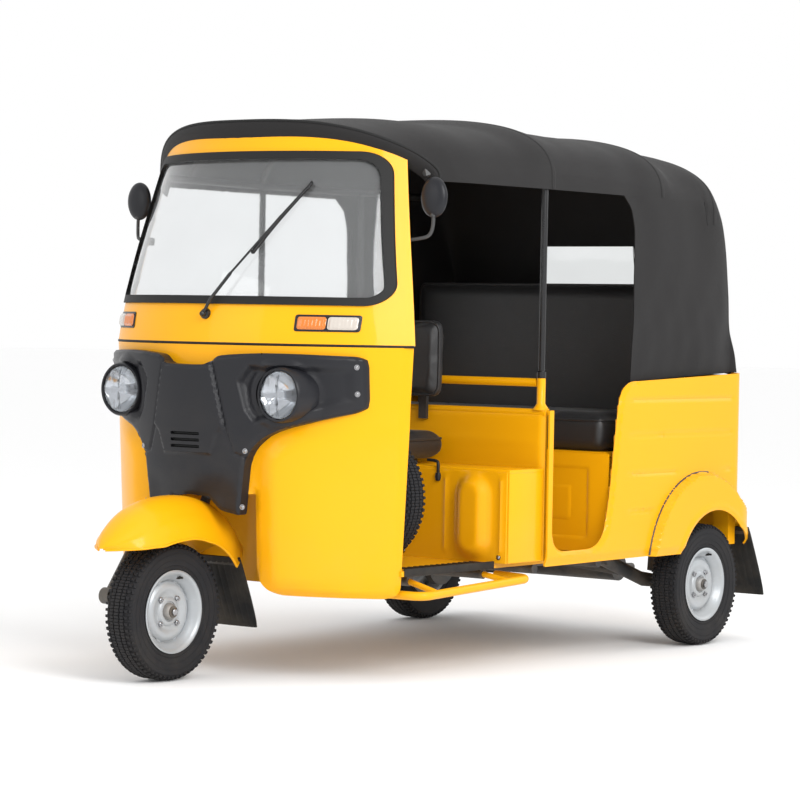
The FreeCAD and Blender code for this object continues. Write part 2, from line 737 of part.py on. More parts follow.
def side_outline():
    """The side panel's corners as (Y, level), around the sill, the tail, the hem and the doorway."""
    front, back = front_axle + d.partition, rear_axle + d.tail_behind
    doorway = rear_axle - d.door_back_ahead
    low, high, top = d.sill, d.partition_top, d.side_top
    return [
        (front, low), (back, low + 14), (back, top + 24), (doorway + 104, top - 1),
        (doorway + 29, top - 23), (doorway + 1, top - 61), (doorway - 25, top - 221),
        (doorway - 45, top - 379), (doorway - 70, top - 478), (doorway - 109, top - 519),
        (doorway - 170, top - 530), (front + 100, top - 530), (front + 55, top - 514), (front + 34, top - 475),
        (front + 34, high), (front, high),
    ]


arch_hole = Part.makeCylinder(
    OPENING_RADIUS, 2000, Vector(-1000, rear_axle + OPENING_CENTRE, OPENING_LEVEL), Vector(1, 0, 0)
)
flare_disc = Part.makeCylinder(
    FLARE_RADIUS, d.arch_half - d.body_half, Vector(d.body_half, rear_axle + FLARE_CENTRE, FLARE_LEVEL),
    Vector(1, 0, 0),
)
flare = flare_disc.common(
    block((0, 1000), (rear_axle - 400, rear_axle + d.tail_behind), (d.sill + 16, 900))
)
TAIL_CORNER = 60
tail_plan = Part.makeBox(
    2 * d.body_half, 1200, 900, Vector(-d.body_half, rear_axle + d.tail_behind - 1200, 0)
)
tail_plan = tail_plan.makeFillet(TAIL_CORNER, [
    edge for edge in tail_plan.Edges
    if all(v.Y > rear_axle and abs(abs(v.X) - d.body_half) < 1 for v in edge.Vertexes)
    and abs(edge.tangentAt(edge.FirstParameter).z) > 0.99
])
side = polygon_x(side_outline(), *side_x, at=0).cut(
    block((-700, 700), (rear_axle, rear_axle + 400), (0, 1000)).cut(tail_plan)
)
side = side.fuse(flare).cut(arch_hole)
node("side_panel_left", shaped("side_panel_left_shape", side))
node("side_panel_right", shaped("side_panel_right_shape", side.mirror(Vector(), Vector(1, 0, 0))))

# Tail: the rear panel with its lid, lamps and blank number plate.
tail_opening = box("tail_opening", ("-lid_half - 4", "2 * lid_half + 8"), (f"{TAIL} - 200", 400),
                   ("lid_low - 4", "lid_high - lid_low + 8"))
tail_span = (rear_axle + d.tail_behind - d.skin, rear_axle + d.tail_behind)
tail_levels = (d.sill + 14, d.side_top + 24)
tail_posts = block((534, d.body_half - d.side_thick), (tail_span[0] - 40, tail_span[1]), tail_levels)
tail_wall = block((d.side_thick - d.body_half, d.body_half - d.side_thick), tail_span, tail_levels)
tail_posts = tail_posts.cut(block(
    (0, d.floor_half - d.side_thick), (tail_span[0] - 60, tail_span[0]), (d.bench_top - d.skin, d.bench_top)
))
tail_sheet = shaped("tail_sheet", tail_wall.fuse(both_sides(tail_posts).Solids).common(tail_plan))
plate_holes = [
    cylinder(f"plate_hole_{side}", "plate_hole", 60, (x, f"{TAIL} - 30", "plate_level"), "Y")
    for side, x in (("left", "plate_spacing / 2"), ("right", "-plate_spacing / 2"))
]
node("tail_panel", cut("tail_panel_cut", tail_sheet, tail_opening, *plate_holes))
lid_sheet = box("lid_sheet", ("-lid_half", "2 * lid_half"), (f"{TAIL} - skin", "skin"),
                ("lid_low", "lid_high - lid_low"))
HINGE_LEVEL = "lid_high + 2"
lid_leaves, panel_leaves = [], []
for side, x in (("left", "200"), ("right", "-240")):
    knuckle = cylinder(f"lid_knuckle_{side}", 6, 40, (x, f"{TAIL} + 6.2", HINGE_LEVEL), "X")
    bore = cylinder(f"lid_bore_{side}", "3 + clearance", 40, (x, f"{TAIL} + 6.2", HINGE_LEVEL), "X")
    leaf = box(f"lid_leaf_{side}", (x, 40), (TAIL, 3), ("lid_high - 28", 28))
    leaf = fuse(f"lid_leaf_joined_{side}", leaf, knuckle)
    lid_leaves.append(cut(f"lid_hinge_{side}", leaf, bore))
    pin = cylinder(f"lid_pin_{side}", 3, 64, (f"{x} - 12", f"{TAIL} + 6.2", HINGE_LEVEL), "X")
    ears = [
        cylinder(f"lid_ear_{side}_{end}", 6, 11.5, (f"{x} + {shift}", f"{TAIL} + 6.2", HINGE_LEVEL), "X")
        for end, shift in (("in", -12), ("out", 40.5))
    ]
    tabs = [
        box(f"lid_tab_{side}_{end}", (f"{x} + {shift}", 11.5), (TAIL, 3), ("lid_high + 4", 26))
        for end, shift in (("in", -12), ("out", 40.5))
    ]
    panel_leaves.append(fuse(f"panel_hinge_{side}", pin, *ears, *tabs))
node("tail_lid", fuse("tail_lid_fused", lid_sheet, *lid_leaves))
node("lid_hinges", compound("lid_hinges_pair", *panel_leaves))
lamp_boxes = [
    box(f"tail_lamp_{side}", (x, 90), (TAIL, 28), ("side_top - 205", 170))
    for side, x in (("left", "lid_half + 90"), ("right", "-lid_half - 180"))
]
node("tail_lamps", compound("tail_lamps_pair", *lamp_boxes))

# Hood: arched sections along the vehicle.  Each row is a place along Y, the half width, the crown's and the
# side's top below the roof, and how square the arch's shoulder is.
HOOD = [
    (front_axle + 250, 508, 60, 300, 2.65),
    (front_axle + 430, 533, 36, 284, 2.65),
    (front_axle + 640, 580, 21, 254, 2.65),
    (front_axle + 960, 597, 14, 224, 2.7),
    (front_axle + 1090, 597, 0, 214, 2.75),
    (rear_axle - 750, 597, 11, 219, 2.75),
    (rear_axle - 360, 597, 18, 229, 2.75),
    (rear_axle - 260, 597, 21, 239, 2.75),
    (rear_axle - 180, 597, 40, 254, 2.6),
    (rear_axle - 40, 597, 43, 264, 2.6),
    (rear_axle + 50, 596, 54, 284, 2.6),
    (rear_axle + 108, 593, 98, 334, 2.5),
    (rear_axle + 138, 588, 156, 384, 2.4),
    (rear_axle + 158, 583, 218, 434, 2.3),
    (rear_axle + 178, 578, 318, 524, 2.2),
    (rear_axle + 200, 575, 464, 664, 2.2),
    (rear_axle + 226, 585, 660, 760, 2.2),
    (rear_axle + 238, 588, 764, 820, 2.2),
]
HOOD_FLOOR = 860
ARCH_ANGLES = (18, 32, 46, 60, 74)


def arch_points(half, low, top, square):
    """The left half of an arch as (x, level), from its foot to just short of the crown."""
    points = [(half, low)]
    for angle in ARCH_ANGLES:
        across_part = math.cos(math.radians(angle)) ** (2 / square)
        up_part = math.sin(math.radians(angle)) ** (2 / square)
        points.append((half * across_part, low + (top - low) * up_part))
    return points


def hood_section(y, half, crown, side, square, inset, floor):
    """A closed arch of the hood across the vehicle at one place along it."""
    half, top, low = half - inset, d.roof - crown - inset, d.roof - side - inset
    left = arch_points(half, low, top, square)
    points = left + [(0, top)] + [(-x, z) for x, z in reversed(left)]
    curve = Part.BSplineCurve()
    curve.interpolate([Vector(x, y, z) for x, z in points])
    feet = [Vector(-half, y, low), Vector(-half, y, floor), Vector(half, y, floor), Vector(half, y, low)]
    walls = [Part.LineSegment(a, b) for a, b in zip(feet, feet[1:])]
    return Part.Wire([curve.toShape()] + [wall.toShape() for wall in walls])


def hood_solid(inset, floor, first=0):
    """The hood's outside as one solid, drawn in by the inset square to its crown line."""
    sections = []
    for index, (y, half, crown, side, square) in enumerate(HOOD):
        before, after = HOOD[max(index - 1, 0)], HOOD[min(index + 1, len(HOOD) - 1)]
        slope = max(math.atan2(after[2] - before[2], after[0] - before[0]), 0)
        y += first if index == 0 else -inset * math.sin(slope)
        crown -= inset * (1 - math.cos(slope))
        sections.append(hood_section(y, half, crown, side, square, inset, floor))
    return Part.makeLoft(sections, True)


def hood_plan(inset):
    """The space behind the hood's front band, which stands just proud of the leaning cab front."""
    proud, wide, back = 16 - inset, 600, rear_axle + 400
    outlines = []
    for level in (HOOD_FLOOR - 60, 1400, d.roof + 60):
        _, nose, half, edge = between(LEVELS["screen_mid"], LEVELS["header"], max(level, 1300))
        radius = (half**2 + (edge - nose) ** 2) / (2 * (edge - nose)) + proud
        station = nose - proud + radius - math.sqrt(max(radius**2 - wide**2, 0))
        left, right = from_front(wide, station, level), from_front(-wide, station, level)
        arc = Part.Arc(right, from_front(0, nose - proud, level), left).toShape()
        corners = [left, Vector(760, left.y, level), Vector(760, back, level), Vector(-760, back, level),
                   Vector(-760, right.y, level), right]
        lines = [Part.LineSegment(a, b).toShape() for a, b in zip(corners, corners[1:])]
        outlines.append(Part.Wire([arc] + lines))
    return Part.makeLoft(outlines, True, True)


hood_outer = hood_solid(0, HOOD_FLOOR).common(hood_plan(0))
hood_inner = hood_solid(d.hood_thick, HOOD_FLOOR - 20, -30).common(hood_plan(d.hood_thick))
BAND = 42
front_arch = hood_solid(BAND, HOOD_FLOOR - 20, -200).common(
    block((-700, 700), (front_axle, front_axle + 640), (0, 2000))
)
hem_cut = polygon_x(
    [
        (front_axle + 200, HOOD_FLOOR - 40), (rear_axle - 452, HOOD_FLOOR - 40), (rear_axle - 428, 1143),
        (rear_axle - 432, 1352), (rear_axle - 452, 1430), (rear_axle - 500, d.hood_hem),
        (front_axle + 488, d.hood_hem + 6), (front_axle + 200, d.hood_hem + 6),
    ],
    -800, 800, at=0,
)
lower_cut = polygon_x(
    [
        (rear_axle - 500, HOOD_FLOOR - 40), (rear_axle + 300, HOOD_FLOOR - 40), (rear_axle + 300, d.side_top + 29),
        (rear_axle + 235, d.side_top + 25), (rear_axle - 426, d.side_top), (rear_axle - 500, d.side_top - 2),
    ],
    -800, 800, at=0,
)
WINDOW = ((-190, 190), (rear_axle, rear_axle + 400), (1188, 1336))
window_hole = block(*WINDOW)
hood = hood_outer.cut(hood_inner).cut(hem_cut).cut(lower_cut).cut(window_hole).cut(front_arch)
shoulder_level = 1480
under_hood = hood_solid(d.hood_thick + 2 * d.clearance, HOOD_FLOOR, -30).fuse(
    block((-700, 700), (front_axle, front_axle + 700), (0, shoulder_level))
)
node("windscreen_frame", shaped("windscreen_frame_shape", frame_shell.common(under_hood)))
node("hood", shaped("hood_shape", max(hood.Solids, key=lambda s: s.Volume)))
pane = block(*WINDOW).common(
    hood_solid(2, HOOD_FLOOR).cut(hood_solid(6, HOOD_FLOOR - 20, -30))
)
node("rear_window", shaped("rear_window_shape", max(pane.Solids, key=lambda s: s.Volume)))


# Hood frame: hoops under the cover, and side rails that join them above the doorways.
BOW_GAP, BOW_RADIUS = 22, 10


def hood_bow(y):
    """One hoop of tube just under the cover."""
    low_row, high_row = [pair for pair in zip(HOOD, HOOD[1:]) if pair[0][0] <= y <= pair[1][0]][0]
    _, half, crown, side, square = between(low_row, high_row, y)
    left = arch_points(half - BOW_GAP, d.roof - side - BOW_GAP, d.roof - crown - BOW_GAP, square)
    points = left + [(0, d.roof - crown - BOW_GAP)] + [(-x, z) for x, z in reversed(left)]
    curve = Part.BSplineCurve()
    curve.interpolate([Vector(x, y, z) for x, z in points])
    start = Vector(points[0][0], y, points[0][1])
    ring = Part.Circle(start, curve.tangent(curve.FirstParameter)[0], BOW_RADIUS)
    return Part.Wire(curve.toShape()).makePipeShell([Part.Wire(ring.toShape())], True, True)


bows = [
    hood_bow(place_along)
    for place_along in (front_axle + 700, front_axle + 1090, rear_axle - 300, rear_axle + 40)
]
rail_height = d.hood_hem + 28
side_rail = pipe(
    [
        Vector(d.hood_half - 75, front_axle + 540, rail_height),
        Vector(d.hood_half - 52, front_axle + 700, rail_height),
        Vector(d.hood_half - 24, front_axle + 1090, rail_height),
        Vector(d.hood_half - 22, rear_axle + 60, rail_height),
    ],
    11,
    200,
)
uprights = [rod(Vector(x, rear_axle - 380, d.side_top - 8), Vector(x, rear_axle - 380, rail_height), 11)
            for x in (d.hood_half - 22, 22 - d.hood_half)]
below_rail = block((-700, 700), (front_axle, rear_axle + 400), (1000, rail_height - 5))
side_rails = [side_rail, side_rail.mirror(Vector(), Vector(1, 0, 0))]
trimmed = [bow.cut(below_rail) for bow in bows]
hood_frame = trimmed[0].fuse(trimmed[1:] + side_rails + uprights)
hood_frame = hood_frame.cut(hood).cut(screen_outer)
node("hood_frame", shaped("hood_frame_shape", max(hood_frame.Solids, key=lambda s: s.Volume)))

# Engine and running gear under the bench.
engine = box("engine_case", (-160, 320), (f"{BENCH} + 150", 300), ("floor - 78", 330))
node("engine_block", engine)
swing_pivot = from_rear(300, -330, d.floor - d.floor_thick - rail_radius)
swing_joint = rod(swing_pivot - Vector(0, 0, 0), swing_pivot + Vector(140, 0, 0), 21)
swing_knee = from_rear(450, -120, d.tyre_radius + 12)
swing_tip = from_rear(490, 0, d.tyre_radius)
swing = rod(swing_pivot + Vector(120, 0, 0), swing_knee, 22).fuse(
    [rod(swing_knee, swing_tip, 22), Part.makeSphere(22, swing_knee), swing_joint]
)
swing = swing.cut(rail)
drum = Part.makeCylinder(78, 26, from_rear(478, 0, d.tyre_radius), Vector(1, 0, 0))
rear_axle_pin = Part.makeCylinder(
    axle_radius, 140, from_rear(490, 0, d.tyre_radius), Vector(1, 0, 0)
)
rear_nut = Part.makeCylinder(
    17, 14, from_rear(d.rear_track_half + hub_face + 1, 0, d.tyre_radius), Vector(1, 0, 0)
)
swing = swing.fuse([drum, rear_axle_pin.common(block((0, d.rear_track_half + hub_face + 15), (-9999, 9999),
                                                     (0, 999))), rear_nut])
node("swing_arms", shaped("swing_arms_shape", both_sides(max(swing.Solids, key=lambda s: s.Volume))))
shaft = rod(from_rear(150, -230, d.floor - 60), from_rear(478, 0, d.tyre_radius + 4), 13)
shaft = shaft.cut(swing).cut(block((-160, 160), (rear_axle - 400, rear_axle - 100), (200, 600)))
node("drive_shafts", shaped("drive_shafts_shape", both_sides(max(shaft.Solids, key=lambda s: s.Volume))))
damper = rod(from_rear(455, -60, d.tyre_radius + 40), from_rear(420, 40, d.bench_top), 24)
damper = damper.cut(swing).cut(block((0, 999), (0, 9999), (d.bench_top - d.skin, 999)))
node("rear_shocks", shaped("rear_shocks_shape", both_sides(max(damper.Solids, key=lambda s: s.Volume))))
muffler_level = rail_level - rail_radius - 52
muffler = rod(from_rear(-190, 130, muffler_level), from_rear(190, 130, muffler_level), 46)
downpipe = pipe(
    [from_rear(-90, -100, d.floor - 60), from_rear(-90, -20, d.floor - 60), from_rear(-90, 110, muffler_level)],
    14, 60,
)
tailpipe = rod(from_rear(150, 130, muffler_level), from_rear(150, 270, muffler_level - 8), 14)
hanger = rod(from_rear(60, 140, muffler_level), from_rear(60, 195, rail_level), 8)
exhaust = muffler.fuse([downpipe, tailpipe, hanger]).cut(frame)
node("exhaust", shaped("exhaust_shape", max(exhaust.Solids, key=lambda s: s.Volume)))

# Mudflaps: thick rubber sheets that lean back, as (station, level) corners.
flap_top, flap_foot = d.tail_behind + d.clearance, d.rear_overhang
FLAP_THICK, FLAP_HIGH, FLAP_LOW = 8, 385, 149
flap = polygon_x(
    [
        (flap_top, FLAP_HIGH), (flap_top + FLAP_THICK, FLAP_HIGH), (flap_foot, FLAP_LOW + 3),
        (flap_foot - FLAP_THICK, FLAP_LOW), (flap_top, FLAP_HIGH - 19),
    ],
    560, 650, at=rear_axle,
)
node("rear_mudflaps", shaped("rear_mudflaps_shape", both_sides(flap)))
FRONT_FLAP = [(216, 352), (222, 355), (310, 144), (304, 142)]
front_flap = polygon_x(FRONT_FLAP, -104, 104, at=front_axle).cut(fender_shell)
node("front_mudflap", shaped("front_mudflap_shape", max(front_flap.Solids, key=lambda s: s.Volume)))

# Mirrors, spare wheel and brake pedal.
MIRROR = (585, 500, 1427)
MIRROR_HALVES = (46, 16, 60)
MIRROR_ARM = [(500, 470, 1300), (556, 474, 1306), (585, 500, 1330), (585, 500, 1400)]
mirror_head = Part.makeSphere(1, Vector())
stretch = FreeCAD.Matrix()
stretch.scale(*MIRROR_HALVES)
mirror_head = mirror_head.transformGeometry(stretch)
mirror_head.translate(from_front(*MIRROR))
mirror_arm = pipe([from_front(*point) for point in MIRROR_ARM], 6, 20)
one_mirror = mirror_head.fuse(mirror_arm).cut(screen_outer)
node("mirrors", shaped("mirrors_shape", both_sides(max(one_mirror.Solids, key=lambda s: s.Volume))))

SPARE_X = 305
spare_body = place(
    turned("spare_tyre_body", TYRE_OUTLINE), SPARE_X, f"{FRONT_AXLE} + door_edge + 125", "floor + tyre_radius",
    Rotation(Vector(0, 0, 1), 90),
)
node("spare_tyre", spare_body)
spare_rim = place(
    turned("spare_rim_body", RIM_OUTLINE), SPARE_X, f"{FRONT_AXLE} + door_edge + 125", "floor + tyre_radius",
    Rotation(Vector(0, 0, 1), 90),
)
node("spare_rim", spare_rim)
pedal_arm = box("pedal_arm", (-150, 14), (f"{FRONT_AXLE} + door_edge + 90", 20), ("floor", 90))
pedal_pad = box("pedal_pad", (-180, 74), (f"{FRONT_AXLE} + door_edge + 74", 16), ("floor + 60", 60))
node("brake_pedal", fuse("brake_pedal_fused", pedal_arm, pedal_pad))

# Check every object, then write each sub-part to its own file.
doc.recompute()
for thing in doc.Objects:
    if {"Invalid", "Error"} & set(thing.State):
        raise RuntimeError(f"{thing.Name} failed: {thing.State}")
for part in NODES:
    if part.Shape.isNull() or not part.Shape.isValid():
        raise RuntimeError(f"{part.Label} has no valid shape")
os.makedirs("parts", exist_ok=True)
for part in NODES:
    part.Shape.exportStep(f"parts/{part.Label}.step")
print(f"{len(NODES)} sub-parts written")
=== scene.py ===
"""Looks of a three-wheeled auto rickshaw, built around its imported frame."""

import json
import logging
import math
from collections.abc import Callable, Sequence
from dataclasses import dataclass
from enum import Enum

import bmesh
import bpy
from mathutils import Matrix, Vector
from mathutils.bvhtree import BVHTree


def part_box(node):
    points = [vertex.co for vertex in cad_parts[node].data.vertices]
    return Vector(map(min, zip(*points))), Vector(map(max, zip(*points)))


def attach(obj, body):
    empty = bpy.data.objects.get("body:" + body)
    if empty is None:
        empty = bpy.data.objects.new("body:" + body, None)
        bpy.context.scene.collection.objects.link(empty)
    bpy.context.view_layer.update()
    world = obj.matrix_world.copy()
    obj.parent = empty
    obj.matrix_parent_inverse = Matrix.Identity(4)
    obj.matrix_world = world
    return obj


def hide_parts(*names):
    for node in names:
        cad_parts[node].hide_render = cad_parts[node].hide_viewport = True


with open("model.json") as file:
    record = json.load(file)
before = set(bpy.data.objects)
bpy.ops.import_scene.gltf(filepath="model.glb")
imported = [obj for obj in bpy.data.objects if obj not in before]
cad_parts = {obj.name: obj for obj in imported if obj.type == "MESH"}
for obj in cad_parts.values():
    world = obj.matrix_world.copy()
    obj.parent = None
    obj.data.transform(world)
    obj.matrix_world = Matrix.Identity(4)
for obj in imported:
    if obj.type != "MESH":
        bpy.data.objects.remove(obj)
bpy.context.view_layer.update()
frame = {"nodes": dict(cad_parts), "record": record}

LOG = logging.getLogger("rickshaw")
Colour = tuple[float, float, float]
SIDES = (("left", 1), ("right", -1))


def station(s: float) -> float:
    """Turn a distance behind the front axle, in metres, into a place along Y."""
    return s - 1.0425


# ---- Shader effects shared by several finishes ----


class Shader:
    """A small helper that adds nodes to one node tree and joins them."""

    def __init__(self, tree: bpy.types.NodeTree) -> None:
        """Keep the tree that the nodes go in.

        Args:
            tree: A material's tree or a node group.
        """
        self.tree = tree

    def add(self, kind: str, **inputs: object) -> bpy.types.Node:
        """Add a node and set or link its inputs.

        Args:
            kind: The node's type without its ShaderNode prefix.
            **inputs: Values by input name, with spaces written as underscores;
                a socket given here is linked.

        Returns:
            The new node.
        """
        return self.fill(self.tree.nodes.new("ShaderNode" + kind), **inputs)

    def fill(self, node: bpy.types.Node, **inputs: object) -> bpy.types.Node:
        """Set or link a node's inputs, as add does, and return the node."""
        for name, value in inputs.items():
            self.put(node.inputs[name.replace("_", " ")], value)
        return node

    def put(self, socket: bpy.types.NodeSocket, value: object) -> None:
        """Link a socket, or set its plain value."""
        if isinstance(value, bpy.types.NodeSocket):
            self.tree.links.new(value, socket)
        else:
            socket.default_value = value

    def maths(self, operation: str, *values: object) -> bpy.types.NodeSocket:
        """Add a Math node.

        Args:
            operation: Its operation.
            *values: Its inputs in order.

        Returns:
            The result's socket.
        """
        node = self.add("Math")
        node.operation = operation
        for socket, value in zip(node.inputs, values):
            self.put(socket, value)
        return node.outputs[0]

    def mix(self, factor: object, a: object, b: object) -> bpy.types.NodeSocket:
        """Mix two colours.

        Args:
            factor: How much of the second shows.
            a: The first colour.
            b: The second colour.

        Returns:
            The mixed colour's socket.
        """
        node = self.add("Mix")
        node.data_type = "RGBA"
        for index, value in ((0, factor), (6, a), (7, b)):
            self.put(node.inputs[index], value)
        return node.outputs[2]

    def ramp(self, value: object, low: float, high: float) -> bpy.types.NodeSocket:
        """Stretch a value so that low gives 0 and high gives 1, and clamp it."""
        node = self.add("MapRange", Value=value, From_Min=low, From_Max=high)
        return node.outputs[0]


class Effect(Enum):
    """The node groups that the finishes share."""

    TONE = "Slow tone"
    GRAIN = "Moulded grain"
    DUST = "Road dust"
    SCUFF = "Scuffs"
    WEAVE = "Cloth weave"


class Effects:
    """Builds each shared node group once."""

    def __init__(self) -> None:
        """Build every group."""
        self.groups = {
            Effect.TONE: self._tone(), Effect.GRAIN: self._grain(), Effect.DUST: self._dust(),
            Effect.SCUFF: self._scuff(), Effect.WEAVE: self._weave()
        }

    def place(self, shader: Shader, effect: Effect, **inputs: object) -> bpy.types.Node:
        """Put a group in a material with its own values.

        Args:
            shader: The material's helper.
            effect: Which group.
            **inputs: Values by input name.

        Returns:
            The group node.
        """
        node = shader.tree.nodes.new("ShaderNodeGroup")
        node.node_tree = self.groups[effect]
        return shader.fill(node, **inputs)

    @staticmethod
    def _start(
        effect: Effect, output: str, **inputs: float
    ) -> tuple[Shader, bpy.types.NodeSocket, bpy.types.NodeOutputs, bpy.types.NodeInputs]:
        """Start a group of plain numbers.

        Args:
            effect: Which group.
            output: Name of its output.
            **inputs: Defaults by input name.

        Returns:
            The helper, the place on the piece, what the group is given and what it gives.
        """
        tree = bpy.data.node_groups.new(effect.value, "ShaderNodeTree")
        for name, value in inputs.items():
            socket = tree.interface.new_socket(name, in_out="INPUT", socket_type="NodeSocketFloat")
            socket.default_value = value
        tree.interface.new_socket(output, in_out="OUTPUT", socket_type="NodeSocketFloat")
        shader = Shader(tree)
        source = tree.nodes.new("NodeGroupInput")
        sink = tree.nodes.new("NodeGroupOutput")
        return shader, shader.add("TexCoord").outputs["Object"], source.outputs, sink.inputs

    def _tone(self) -> bpy.types.NodeTree:
        """Return slow, cloudy variation about 0.5."""
        shader, place, given, result = self._start(Effect.TONE, "Value", Scale=3.0, Spread=0.5)
        noise = shader.add("TexNoise", Vector=place, Scale=given["Scale"], Detail=4.0)
        centred = shader.maths("SUBTRACT", noise.outputs[0], 0.5)
        spread = shader.maths("MULTIPLY", centred, given["Spread"])
        shader.put(result[0], shader.maths("ADD", spread, 0.5))
        return shader.tree

    def _grain(self) -> bpy.types.NodeTree:
        """Return the height of a pebbled, leather-like grain."""
        shader, place, given, result = self._start(Effect.GRAIN, "Height", Scale=900.0, Crease=0.6)
        cells = shader.add("TexVoronoi", Vector=place, Scale=given["Scale"])
        cells.feature = "SMOOTH_F1"
        fine = shader.add("TexNoise", Vector=place, Scale=given["Scale"], Detail=3.0)
        creased = shader.maths("MULTIPLY", cells.outputs["Distance"], given["Crease"])
        shader.put(result[0], shader.maths("SUBTRACT", fine.outputs[0], creased))
        return shader.tree

    def _dust(self) -> bpy.types.NodeTree:
        """Return a mask that is full near the ground and patchy above it."""
        shader, place, given, result = self._start(Effect.DUST, "Mask", Top=0.6, Amount=0.4, Patch=9.0)
        level = shader.add("SeparateXYZ", Vector=place).outputs["Z"]
        fall = shader.add(
            "MapRange", Value=level, From_Min=0.0, From_Max=given["Top"], To_Min=1.0, To_Max=0.0
        ).outputs[0]
        noise = shader.add("TexNoise", Vector=place, Scale=given["Patch"], Detail=6.0, Roughness=0.62)
        patch = shader.ramp(noise.outputs[0], 0.36, 0.72)
        both = shader.maths("MULTIPLY", fall, patch)
        shader.put(result[0], shader.maths("MULTIPLY", both, given["Amount"]))
        return shader.tree

    def _scuff(self) -> bpy.types.NodeTree:
        """Return a mask of fine rubbed streaks."""
        shader, place, given, result = self._start(Effect.SCUFF, "Mask", Scale=40.0, Amount=0.3)
        stretched = shader.add("Mapping", Vector=place, Scale=(1.0, 0.35, 1.6)).outputs[0]
        noise = shader.add(
            "TexNoise", Vector=stretched, Scale=given["Scale"], Detail=8.0, Roughness=0.7
        ).outputs[0]
        streaks = shader.ramp(noise, 0.55, 0.78)
        shader.put(result[0], shader.maths("MULTIPLY", streaks, given["Amount"]))
        return shader.tree

    def _weave(self) -> bpy.types.NodeTree:
        """Return the height of a fine woven backing that shows through a coating."""
        shader, place, given, result = self._start(Effect.WEAVE, "Height", Threads=700.0)
        height = 0.0
        for direction in ("X", "Y", "Z"):
            wave = shader.add("TexWave", Vector=place, Scale=given["Threads"], Distortion=0.4, Detail=1.0)
            wave.bands_direction = direction
            height = shader.maths("ADD", height, wave.outputs[1])
        shader.put(result[0], shader.maths("MULTIPLY", height, 0.33))
        return shader.tree


# ---- Finishes ----


@dataclass(frozen=True)
class Finish:
    """One opaque finish: its colour, its gloss and the detail in its surface.

    Attributes:
        colour: Base colour.
        second: Colour that the slow variation leans to.
        spread: How strong the slow variation is.
        rough: Roughness.
        metal: Metallic share.
        coat: Clear coat weight.
        coat_rough: Roughness of the clear coat.
        grain: Grain cells a metre, 0 for none.
        grain_depth: Depth of the grain, in metres.
        weave: Threads a metre, 0 for none.
        dust: Amount of road dust.
        dust_top: Height at which the dust ends, in metres.
        scuff: Amount of rubbed streaks.
        sheen: Sheen weight.
        specular: Specular level.
        calm: Share of the colour that light bounced off it loses.
    """

    colour: Colour
    second: Colour
    spread: float = 0.6
    rough: float = 0.4
    metal: float = 0.0
    coat: float = 0.0
    coat_rough: float = 0.05
    grain: float = 0.0
    grain_depth: float = 0.0001
    weave: float = 0.0
    dust: float = 0.0
    dust_top: float = 0.6
    scuff: float = 0.0
    sheen: float = 0.0
    specular: float = 0.5
    calm: float = 0.0

    ROAD_DUST = (0.36, 0.29, 0.21, 1)
    BOUNCED = (0.42, 0.40, 0.36, 1)

    def build(self, name: str, effects: Effects) -> bpy.types.Material:
        """Build the material.

        Args:
            name: The material's name.
            effects: The shared groups.

        Returns:
            The material.
        """
        material, shader, surface = blank_material(name)
        tone = effects.place(shader, Effect.TONE, Scale=2.6, Spread=self.spread)
        colour = shader.mix(tone.outputs[0], (*self.colour, 1), (*self.second, 1))
        fine = effects.place(shader, Effect.TONE, Scale=60.0, Spread=0.5)
        rough = shader.maths("MULTIPLY_ADD", fine.outputs[0], 0.12, self.rough - 0.06)
        if self.scuff:
            scuff = effects.place(shader, Effect.SCUFF, Scale=38.0, Amount=self.scuff).outputs[0]
            rough = shader.maths("MULTIPLY_ADD", scuff, 0.35, rough)
            pale = tuple(min(1.0, c * 1.25 + 0.04) for c in self.colour)
            colour = shader.mix(scuff, colour, (*pale, 1))
        if self.dust:
            dust = effects.place(shader, Effect.DUST, Top=self.dust_top, Amount=self.dust).outputs[0]
            colour = shader.mix(dust, colour, self.ROAD_DUST)
            rough = shader.maths("MULTIPLY_ADD", dust, 0.4, rough)
            if self.coat:
                kept = shader.maths("SUBTRACT", 1.0, dust)
                shader.put(surface.inputs["Coat Weight"], shader.maths("MULTIPLY", kept, self.coat))
        elif self.coat:
            surface.inputs["Coat Weight"].default_value = self.coat
        if self.calm:
            bounced = shader.add("LightPath").outputs["Is Diffuse Ray"]
            share = shader.maths("MULTIPLY", bounced, self.calm)
            colour = shader.mix(share, colour, self.BOUNCED)
        shader.fill(
            surface, Base_Color=colour, Roughness=rough, Metallic=self.metal, Sheen_Weight=self.sheen,
            Coat_Roughness=self.coat_rough, Specular_IOR_Level=self.specular
        )
        self._relief(shader, effects, surface)
        return material

    def _relief(self, shader: Shader, effects: Effects, surface: bpy.types.Node) -> None:
        """Add the grain and the weave as bumps."""
        height = None
        if self.grain:
            height = effects.place(shader, Effect.GRAIN, Scale=self.grain).outputs[0]
        if self.weave:
            threads = effects.place(shader, Effect.WEAVE, Threads=self.weave).outputs[0]
            height = threads if height is None else shader.maths("ADD", height, threads)
        if height is None:
            return
        bump = shader.add("Bump", Height=height, Strength=1.0, Distance=self.grain_depth)
        shader.put(surface.inputs["Normal"], bump.outputs[0])


